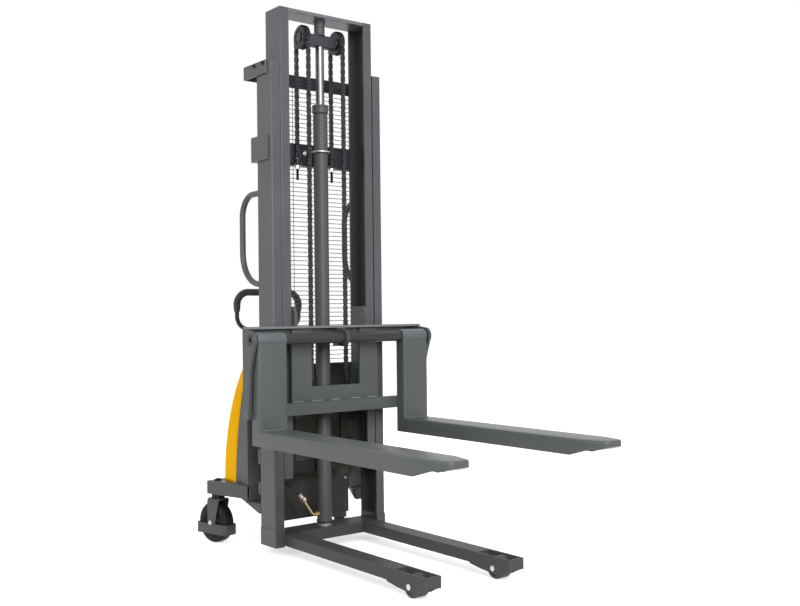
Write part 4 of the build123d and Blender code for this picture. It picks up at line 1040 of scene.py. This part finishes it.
def stitches(places, y, z, radius):
    """A short bead of weld along X at each place."""
    return [weld((x - STITCH / 2, y, z), (x + STITCH / 2, y, z), radius) for x in places]


_, lower_back, lower_top = span("carriage_lower_bar")[1]
beads = stitches(LOWER_STITCHES, lower_back - 1 * MM, lower_top + 1 * MM, 4.5 * MM)
beads += stitches(BEAM_STITCHES, mast_front - 44 * MM, BEAM_UNDER + 1 * MM, 3.5 * MM)
piece("carriage_welds", join(*beads), weld_paint, "carriage")
tail_outline = box_outline((bar_y, bar_z - LUG_UNDER), (mast_front - LUG_BACK, bar_z - LUG_OVER))
lug_tail = slab(tail_outline, -LUG_HALF * X, Y, Z, 2 * LUG_HALF, 1.5 * MM)
# The tail takes the beam's paint, whose painted shade darkens it below the beam.
piece("bar_lug_tail", lug_tail, beam_paint, "carriage")
beam_low, beam_high = span("carriage_top_beam")
bead_y = mast_front - 37 * MM
bead_ends = [(END_BEAD_X, bead_y, z) for z in (beam_low[2] + 1 * MM, beam_high[2] - 1 * MM)]
piece("beam_end_welds", pair(weld(*bead_ends, END_BEAD, 8 * MM)), grey_paint, "carriage")

# %% [markdown]
# ## Straddle legs
# Load rollers turn on plated axles between the cheeks at the leg tips. Only the axle heads show from the
# side, as two bright dots. The legs keep their solids, and the turned pieces are made on the lathe, the
# rollers with the profile of the rail rollers in other sizes.

# %% Load rollers and axles
AXLE_HALF = 40.5
for name in ("load_roller_left", "load_roller_right"):
    low, high = span(name)
    half, _, radius = (high - low) / 2 / MM
    profile = roller_profile(half, radius, 10.1, 17, 30, 3, 4, 1.2)
    tread = lathe(profile, middle_of(name), X, 48, ring=True)
    piece(name + "_tread", tread, roller_nylon, name, (name,))
axle_end = span("load_roller_axles")[1][0]
axle_head = [(0, 5), (-0.8, 9), (-2, 11), (-3.2, 11), (-3.2, 9.9)]
axle_profile = two_sided(np.array(axle_head) + (AXLE_HALF, 0)) * MM
axle = lathe(axle_profile, (axle_end - AXLE_HALF * MM, *middle_of("load_roller_axles")[1:]), X, 32)
piece("leg_axles", pair(axle), zinc, "chassis", ("load_roller_axles",))


# %% [markdown]
# ## Casters
# A caster is a pressed yoke under a ball race, a wheel with a black tread on a nylon hub, and a bent strip
# that keeps feet away from the wheel. A block with a slot would look cast, so the yoke is a plate whose
# edges move along its bend. Each piece is drawn in mm in its own axes, across, along and up, and set down
# at its swivel, turned to the heading that the joint gives.

# %% Yokes
GUARD_CORNERS = box_outline((-34.5, -82.5), (34.5, 106.5))
GUARD_RISE = 63
TRAIL, AXLE_HEIGHT = 12, 90
YOKE_LEGS = [66.0, 69.0, 75.0, 92.0, 130.0]
YOKE_HEIGHTS = [66, 69, 75, 92, 180, 198]
YOKE_FRONT = [4, -2, -7, -13, -34, -37]
YOKE_REAR = [20, 26, 31, 37, 38, 37]


def pressed_yoke():
    """A plate bent to a U over the wheel: the line of the U, moved inwards and from front to back edge."""
    arch = round_corners([(-33, 150), (-33, 198), (33, 198), (33, 150)], 14, 9, closed=False)
    leg = np.array([(-33.0, rise) for rise in YOKE_LEGS])
    line = np.concatenate([leg, arch, leg[::-1] * (-1, 1)])
    ahead = unit(np.gradient(line, axis=0))
    inwards = np.stack([ahead[:, 1], -ahead[:, 0]], 1)
    front, rear = (np.interp(line[:, 1], YOKE_HEIGHTS, edge) for edge in (YOKE_FRONT, YOKE_REAR))
    sunk = np.array([0, 0, 1, 4, 5, 5, 4, 1.0])
    edge = np.stack([front + 1, rear - 1, rear, rear, rear - 1, front + 1, front, front], 1)
    place = line[:, None] + inwards[:, None] * sunk[:, None]
    return skin(np.stack([place[..., 0], edge, place[..., 1]], -1))


def yoke():
    """Pressed yoke, foot guard and lower race."""
    plan = round_corners(GUARD_CORNERS, 14, 8)
    strip = round_corners(box_outline((-23, -1.5), (23, 1.5)), 1.2, 3)
    guard = sweep(np.column_stack([plan, np.full(len(plan), GUARD_RISE)]), strip, Z, closed=True)
    race = lathe([(182, 17), (185, 24), (194, 24)], ORIGIN, Z, 32)
    return join(pressed_yoke(), guard, race)


def axle_bolt():
    """Rod, and a washer and nut outside each yoke leg."""
    axle = (0, TRAIL, AXLE_HEIGHT)
    washer = lathe([(36, 10), (38, 10)], axle, X, 28)
    head = nut((38, TRAIL, AXLE_HEIGHT), X, 13, 6)
    return join(lathe([(-39, 9), (39, 9)], axle, X, 20), pair(join(washer, head)))


# %% Wheels
WHEEL_RIBS = 8
tyre_profile = two_sided([(21, 60), (25, 63), (25, 80), (22.5, 86), (17, 89.2), (9, 90)])
hub_boss = [(27, 10.1), (27, 19), (21, 21), (18, 27), (13, 31)]
hub_profile = two_sided(hub_boss + [(13, 48), (19, 54), (24, 56), (24, 60), (21, 61)])


def rays(angles):
    """At each angle, the direction outwards and the one square to it, in a plane of two axes."""
    for angle in angles:
        yield np.array([np.cos(angle), np.sin(angle)]), np.array([-np.sin(angle), np.cos(angle)])


def hub():
    """Hub with ribs in its recess, about its own middle."""
    body = lathe(hub_profile, ORIGIN, X, 48, ring=True)
    rib = box_outline((20, -2.5), (56, 2.5))
    turns = np.arange(WHEEL_RIBS) * 2 * np.pi / WHEEL_RIBS
    ribs = [slab(rib, -19.5 * X, (0, *out), (0, *side), 39, 0.5) for out, side in rays(turns)]
    return join(body, *ribs)


for side in ("left", "right"):
    swivel, roll = joints[f"caster_{side}_swivel"], joints[f"caster_{side}_roll"]
    across = np.array(roll["axis"])
    axes = np.array([across, np.cross(Z, across), Z]) * MM
    place, centre = np.array([*swivel["pos_m"][:2], 0.0]), np.array(roll["pos_m"])
    yoke_name, wheel_name = f"caster_yoke_{side}", f"caster_wheel_{side}"
    yoke_skin, bolt_skin = turned(yoke(), place, axes), turned(axle_bolt(), place, axes)
    piece(f"caster_fork_{side}", yoke_skin, caster_paint, yoke_name, (yoke_name,))
    piece(f"caster_axle_{side}", bolt_skin, zinc, yoke_name)
    tyre = turned(lathe(tyre_profile, ORIGIN, X, 72, ring=True), centre, axes)
    piece(f"caster_tyre_{side}", tyre, tyre_black, wheel_name, (wheel_name,))
    piece(f"caster_hub_{side}", turned(hub(), centre, axes), hub_nylon, wheel_name)

# %% Races and kingpin caps
RACE_POSTS = 10
RACE_SECTION = mm((0, 20), (0, 28), (1, 29), (3, 29), (4, 28), (4, 20))
RACE_LEVELS = mm(199.3, 212.6)
arm_top = span("chassis_arms")[1][2]
kingpin = np.array(joints["caster_right_swivel"]["pos_m"]) * (1, 1, 0)
rings = [lathe(RACE_SECTION + (level, 0), kingpin, Z, 40, ring=True) for level in RACE_LEVELS]
post = lathe(mm((202, 3), (214, 3)), kingpin, Z, 10)
posts = copies(post, np.column_stack([circle(25.5 * MM, RACE_POSTS), np.zeros(RACE_POSTS)]))
piece("caster_races", pair(join(posts, *rings)), black_oxide, "chassis")
dome = np.radians(np.linspace(0, 80, 8))
dome_profile = np.stack([3 + 7 * np.sin(dome), 15 * np.cos(dome)], 1)
cap_profile = np.concatenate([[(0, 20), (2, 20), (3, 18.5)], dome_profile]) * MM
cap = lathe(cap_profile, kingpin + (arm_top - 0.2 * MM) * Z, Z, 32)
piece("kingpin_caps", pair(cap), black_oxide, "chassis")

# %% [markdown]
# ## Rear cover
# The cover is one painted shell with a bowed back and round rear corners. A bent box would not meet the
# curved seam, so the shell is worked out level by level, as a U in plan: the front ends follow the seam,
# the back follows a larger arc, and near the top the U draws in to a round crown. The sheet gets its wall
# from a Solidify modifier.

# %% Arcs of the cover
COVER_CORNER, COVER_CROWN, COVER_WALL = mm(40, 22, 4)
LEVELS = 40
low, high = span("rear_cover")
cover_half, foot_y, cover_top = high
cover_foot = low[2]


def arc_through(points):
    """Middle and radius of the circle through three points."""
    (a, b, c) = (np.array(point) for point in points)
    rows = 2 * np.array([b - a, c - a])
    middle = np.linalg.solve(rows, [b @ b - a @ a, c @ c - a @ a])
    return middle, np.linalg.norm(a - middle)


def depth_on(arc, z):
    """Y of an arc at some heights."""
    middle, radius = arc
    return middle[0] + np.sqrt(radius**2 - (z - middle[1]) ** 2)


BACK_POINTS = [(foot_y, cover_foot), (foot_y - 41 * MM, 0.540), (foot_y - 174 * MM, cover_top)]
SEAM_POINTS = [(foot_y - 129 * MM, cover_foot), (foot_y - 154 * MM, 0.508), (low[1], cover_top)]
back_arc, seam_arc = arc_through(BACK_POINTS), arc_through(SEAM_POINTS)
print("back bowed to", round(back_arc[1], 2), "m, seam to", round(seam_arc[1], 2), "m")

# %% Yellow shell
crown_turn = np.linspace(0, np.pi / 2, 8)[1:]
sides_z = np.linspace(cover_foot, cover_top - COVER_CROWN, LEVELS)
z = np.concatenate([sides_z, cover_top - COVER_CROWN * (1 - np.sin(crown_turn))])
draw = np.concatenate([np.zeros(LEVELS), COVER_CROWN * (1 - np.cos(crown_turn))])
back_y = (depth_on(back_arc, z) - draw)[:, None]
seam_y = (depth_on(seam_arc, z) + 0.3 * MM)[:, None]
side_x = (cover_half - draw)[:, None]
corner_turn = np.linspace(0, np.pi / 2, 10)
straight = np.linspace(0, 1, 5)[:-1]
side_y = seam_y + (back_y - COVER_CORNER - seam_y) * straight
corner_x = side_x - COVER_CORNER * (1 - np.cos(corner_turn))
corner_y = back_y - COVER_CORNER * (1 - np.sin(corner_turn))
half_x = np.concatenate([side_x + 0 * straight, corner_x], 1)
half_y = np.concatenate([side_y, corner_y], 1)
plan_x = np.concatenate([half_x, -half_x[:, ::-1]], 1)
plan_y = np.concatenate([half_y, half_y[:, ::-1]], 1)
shell = np.stack([plan_x, plan_y, np.broadcast_to(z[:, None], plan_x.shape)], -1)
row_count, column_count = plan_x.shape
faces = grid_faces(row_count, column_count, around=False)
faces.append(list(range((row_count - 1) * column_count, row_count * column_count)))
shell = (shell.reshape(-1, 3), faces)
cover = piece("cover_shell", shell, yellow_paint, "chassis", ("rear_cover",))
wall = cover.modifiers.new("wall", "SOLIDIFY")
wall.thickness = COVER_WALL
wall.offset = -1

# %% [markdown]
# ## Control panel
# A black panel is set into the slope of the cover, with a lift lever on a hinge, a red stop button on a
# yellow collar, a key switch and a small battery gauge. Slanted numbers would be hard to read, so the
# pieces are drawn in mm in the panel's own axes, across, down the slope and out, and turned when they are
# set down.

# %% Panel
PANEL_HALF, PANEL_THICK = (140.0, 59.0), 8.0
PIVOT_HEIGHT = 17.0
SCREWS = [(x, y, 3.6) for x in (-128, 128) for y in (-47, 47)]
out = np.array(joints["stop_press"]["axis"])
panel_axes = np.array([X, np.cross(out, X), out])
panel_middle = np.array(joints["lever_tilt"]["pos_m"]) - PIVOT_HEIGHT * MM * out


def on_panel(name, shape, material, body="chassis", stands_for=()):
    """Sets a shape in mm down on the panel as a piece."""
    return piece(name, turned(shape, panel_middle, panel_axes * MM), material, body, stands_for)


outline = round_corners(box_outline(np.negative(PANEL_HALF), PANEL_HALF), 10, 6)
plate = slab(outline, -PANEL_THICK / 2 * Z, X, Y, PANEL_THICK, 2)
ear_outline = round_corners([(-11, 3.5), (11, 3.5), (8, 26), (-8, 26)], [1, 1, 7, 7], 6)
ears = pair(slab(ear_outline, 9.6 * X, Y, Z, 4.4, 0.8))
on_panel("panel_plate", join(plate, ears), panel_plastic, "chassis", ("control_panel",))
screws = copies(cap_screw(ORIGIN, Z, 4.5, 2.6), SCREWS)
on_panel("panel_screws", screws, black_oxide)

# %% Gauge
GAUGE = np.array([43.0, -26.0, 0])
MARKS = np.radians(np.linspace(200, 340, 9))
NEEDLE = np.radians([310])
bezel = lathe([(3.8, 15), (3.8, 20), (7, 19.5), (8, 18), (6.5, 15.5)], GAUGE, Z, 40, ring=True)
on_panel("gauge_bezel", bezel, key_metal)
card = lathe([(3.9, 15.6), (5.0, 15.4)], GAUGE, Z, 40)
on_panel("gauge_card", card, dial_white)
mark, point = box_outline((10, -0.5), (13.5, 0.5)), [(-3, -0.8), (11, -0.2), (11, 0.2), (-3, 0.8)]
dial = [slab(point, GAUGE + 5.3 * Z, (*ray, 0), (*side, 0), 0.6) for ray, side in rays(NEEDLE)]
dial += [slab(mark, GAUGE + 4.9 * Z, (*ray, 0), (*side, 0), 0.4) for ray, side in rays(MARKS)]
on_panel("gauge_marks", join(*dial), black_oxide)

# %% Stop, key and lever
STOP, KEY, PIVOT = 85.0 * X, -85.0 * X, PIVOT_HEIGHT * Z
BOW = [(4, 10.5), (4, 17), (10, 20), (10, 31), (6, 34)]
BOW_CORNERS = [1, 3, 3, 4, 4]
collar_profile = [(3.9, 9), (3.9, 25), (5.5, 25), (6.5, 23.8), (6.5, 21.5), (4.8, 20), (4.8, 9)]
on_panel("stop_collar", lathe(collar_profile, STOP, Z, 40, ring=True), stop_yellow)
mushroom = [(-17, 6), (9, 6.2), (10, 17), (11.5, 19), (15, 19), (19, 17.5), (22, 14), (23.5, 9), (24, 3)]
button = lathe(mushroom, STOP, Z, 40)
on_panel("stop_button", button, stop_red, "emergency_stop", ("emergency_stop",))
barrel_profile = [(-15, 6.9), (4.2, 6.9), (4.4, 11), (10.5, 11), (12, 9.5), (12, 4), (11, 3.5)]
bow_outline = round_corners(two_sided(BOW), BOW_CORNERS + BOW_CORNERS[::-1], 4)
bow_plate = slab(bow_outline, KEY - 1.4 * X, Y, Z, 2.8, 0.6)
key = join(lathe(barrel_profile, KEY, Z, 32), bow_plate)
on_panel("key_and_barrel", key, key_metal, "key_switch", ("key_switch",))
lever = lathe([(PIVOT_HEIGHT, 5), (70, 4.6), (84, 5.2)], ORIGIN, Z, 20)
boss = lathe(two_sided([(9, 7), (8, 8)]), PIVOT, X, 24)
pin = lathe([(-14.5, 3.9), (14.5, 3.9)], PIVOT, X, 16)
on_panel("lever_rod", join(lever, boss, pin), zinc, "lift_lever", ("lift_lever",))
ball = np.radians(np.linspace(-72, 84, 14))
knob = lathe(np.stack([100 + 14 * np.sin(ball), 14 * np.cos(ball)], 1), ORIGIN, Z, 28)
on_panel("lever_knob", knob, knob_black, "lift_lever")

# %% [markdown]
# ## Tiller
# The tiller is a box-section arm with a bent tube loop at its head, and a soft rubber sleeve with fine ribs
# over the upper half of the loop. A bump could draw the ribs, but they show in the sleeve's outline, so the
# sleeve is the loop's path again with a thicker outline that draws in at each groove.

# %% Arm and loop
TUBE, LOOP_CORNER = mm(10, 60)
LOOP_FOOT = 0.945
low, high = span("tiller_handle")
tiller_y = middle_of("tiller_handle")[1]
pivot_z = joints["tiller_tilt"]["pos_m"][2]
loop_half, loop_top = high[0] - TUBE, high[2] - TUBE


def loop_corners(foot):
    """Up one side of the loop, across its top and down to the same height."""
    corners = [(loop_half, foot), (loop_half, loop_top), (-loop_half, loop_top), (-loop_half, foot)]
    return [(x, tiller_y, z) for x, z in corners]


loop = sweep(round_corners(loop_corners(LOOP_FOOT), LOOP_CORNER, 14), circle(TUBE, 16), Y, closed=True)
arm_outline = round_corners(box_outline(mm(-20, -15), mm(20, 15)), 5 * MM, 4)
arm = slab(arm_outline, (0, tiller_y, pivot_z), X, Y, LOOP_FOOT - pivot_z, 1 * MM)
arm_hub = lathe(two_sided(mm((21, 14), (20, 15.5))), (0, tiller_y, pivot_z), X, 32)
gusset_outline = round_corners(mm((-48, 0), (48, 0), (20, -55), (-20, -55)), 5 * MM, 4)
gusset = slab(gusset_outline, (0, tiller_y + 4 * MM, LOOP_FOOT), X, Z, 8 * MM, 1 * MM)
tiller = join(loop, arm, arm_hub, gusset)
piece("tiller_frame", tiller, tiller_paint, "tiller", ("tiller_handle",))
frame["nodes"]["tiller_pin"].material_slots[0].material = zinc

# %% Ribbed sleeve
SLEEVE, RIB_PITCH, SLEEVE_TAPER = mm(16.48, 7, 24)
bends = round_corners(loop_corners(span("tiller_grip")[0][2]), LOOP_CORNER, 24, closed=False)
steps = np.concatenate([[0], np.cumsum(np.linalg.norm(np.diff(bends, axis=0), axis=1))])
walk = np.linspace(0, steps[-1], 420)
sleeve_path = np.stack([np.interp(walk, steps, bends[:, k]) for k in range(3)], 1)
ribbed = 1 - 0.05 * (np.sin(walk / RIB_PITCH * 2 * np.pi) > 0.6)
ribbed *= 0.68 + 0.32 * np.sqrt(np.clip(np.minimum(walk, walk[-1] - walk) / SLEEVE_TAPER, 0, 1))
sleeve = sweep(sleeve_path, circle(SLEEVE, 18), Y, swell=ribbed)
piece("grip_sleeve", sleeve, grip_rubber, "tiller", ("tiller_grip",))

# %% [markdown]
# ## Hydraulics
# The hose leaves the housing through the front panel and meets a short steel pipe in a plated hexagon. The
# pipe bends once and screws straight into the side of the cylinder's foot, with a gold-coloured nut. The
# hose can't hang, because both its ends are held close by, so it is a swept tube that turns the same
# corners as its solid. Battery, tank, valve and motor stay inside the cover and keep their solids.

# %% Hose, pipe and power unit
HOSE, HOSE_BEND, LAST_BEND = mm(7, 16, 30)
PIPE, PIPE_BEND, PORT_Z = mm(5, 14, 142)
INSIDE = [(110, 250, 403), (110, 222, 403), (-190, 222, 403), (-190, 222, 300)]
OUTSIDE = [(-190, 146, 300), (-142, 80, 263), (-100, 80, 215)]
FERRULE = [(-26, 7.2), (-25, 9), (-16, 9), (-15, 8.4), (-12, 8.4), (-11, 9), (-2, 9), (-1, 8)]
hose_points = mm(*INSIDE, *OUTSIDE) + mast_front * Y
hose_path = round_corners(hose_points, [HOSE_BEND] * 4 + [LAST_BEND], 10, closed=False)
hose = sweep(hose_path, circle(HOSE, 14), (0.3, 0.2, 1.0))
piece("hose_line", hose, hose_rubber, "chassis", ("pressure_hose",))
hose_end = hose_points[-1]
down = unit(hose_end - hose_points[-2])
ferrule = join(lathe(mm(*FERRULE), hose_end, down, 24), nut(hose_end, down, 22 * MM, 18 * MM))
piece("hose_ferrule", ferrule, ferrule_plate, "chassis")
elbow_end = np.array([-60 * MM, axis_y, PORT_Z])
port = np.array([-barrel_radius - 0.2 * MM, axis_y, PORT_Z])
pipe_path = round_corners([hose_end, elbow_end, port], [PIPE_BEND], 8, closed=False)
pipe = sweep(pipe_path, circle(PIPE, 14), (0.0, 1.0, 0.2))
elbow = lathe(mm((-20, 7), (-19, 9), (-8, 9), (-7, 11), (0, 11)), port, X, 24)
elbow_nut = nut(port - 16 * MM * X, X, 19 * MM, 8 * MM)
piece("pipe_line", join(pipe, elbow, elbow_nut), brass, "chassis", ("pipe_fittings",))
POWER_UNIT = {"battery": battery_case, "oil_tank": tank_plastic}
POWER_UNIT.update({"valve_block": aluminium, "pump_motor": motor_black})
for node, finish in POWER_UNIT.items():
    painted(node, finish, 3.0)

# %% [markdown]
# ## Bolts and pads on the frame
# The top beam is bolted on, and black cap screws show on its arms. Two plated screws hold the apron, small
# pads are welded behind the rails, and a bead of weld closes the joint between each rail and its shoe. They
# could be left to a bump, but they catch the light at the edges, so they stand proud.

# %% Frame bolts
BOLT_PLACES = mm(50, 123)
APRON_X, APRON_Z = 0.208, 0.256
PAD_X, PAD_SPANS = 0.277, ((0.247, 0.298), (0.375, 0.440))
SHOE_X, SHOE_TOP = 0.242, 0.112
arm_face, _, beam_top = span("top_tie_beam")[1]
bolt_x, bolt_z = arm_face - 0.3 * MM, beam_top - 12 * MM
bolts = [cap_screw((bolt_x, mast_front + y, bolt_z), X, 8 * MM, 7 * MM) for y in BOLT_PLACES]
piece("frame_bolts", pair(join(*bolts)), black_oxide, "chassis")
apron_face = span("rear_tray")[0][1] + 3.3 * MM
apron_screw = cap_screw((APRON_X, apron_face, APRON_Z), -Y, 5 * MM, 3 * MM)
piece("apron_screws", pair(apron_screw), zinc, "chassis")
rail_side = span("outer_rails")[1][0]
pads = []
for low, high in PAD_SPANS:
    pad = box_outline((rail_back - 1 * MM, low), (rail_back + 17 * MM, high))
    pads.append(slab(pad, PAD_X * X, Y, Z, 8 * MM, 1 * MM))
shoe_corners = [(SHOE_X, mast_front), (rail_side, mast_front), (rail_side, rail_back - 2 * MM)]
shoe_ends = [(x, y, SHOE_TOP) for x, y in shoe_corners]
shoe_beads = [weld(shoe_ends[k], shoe_ends[k + 1], 2 * MM) for k in range(2)]
piece("rail_pads", pair(join(*pads, *shoe_beads)), grey_paint, "chassis")
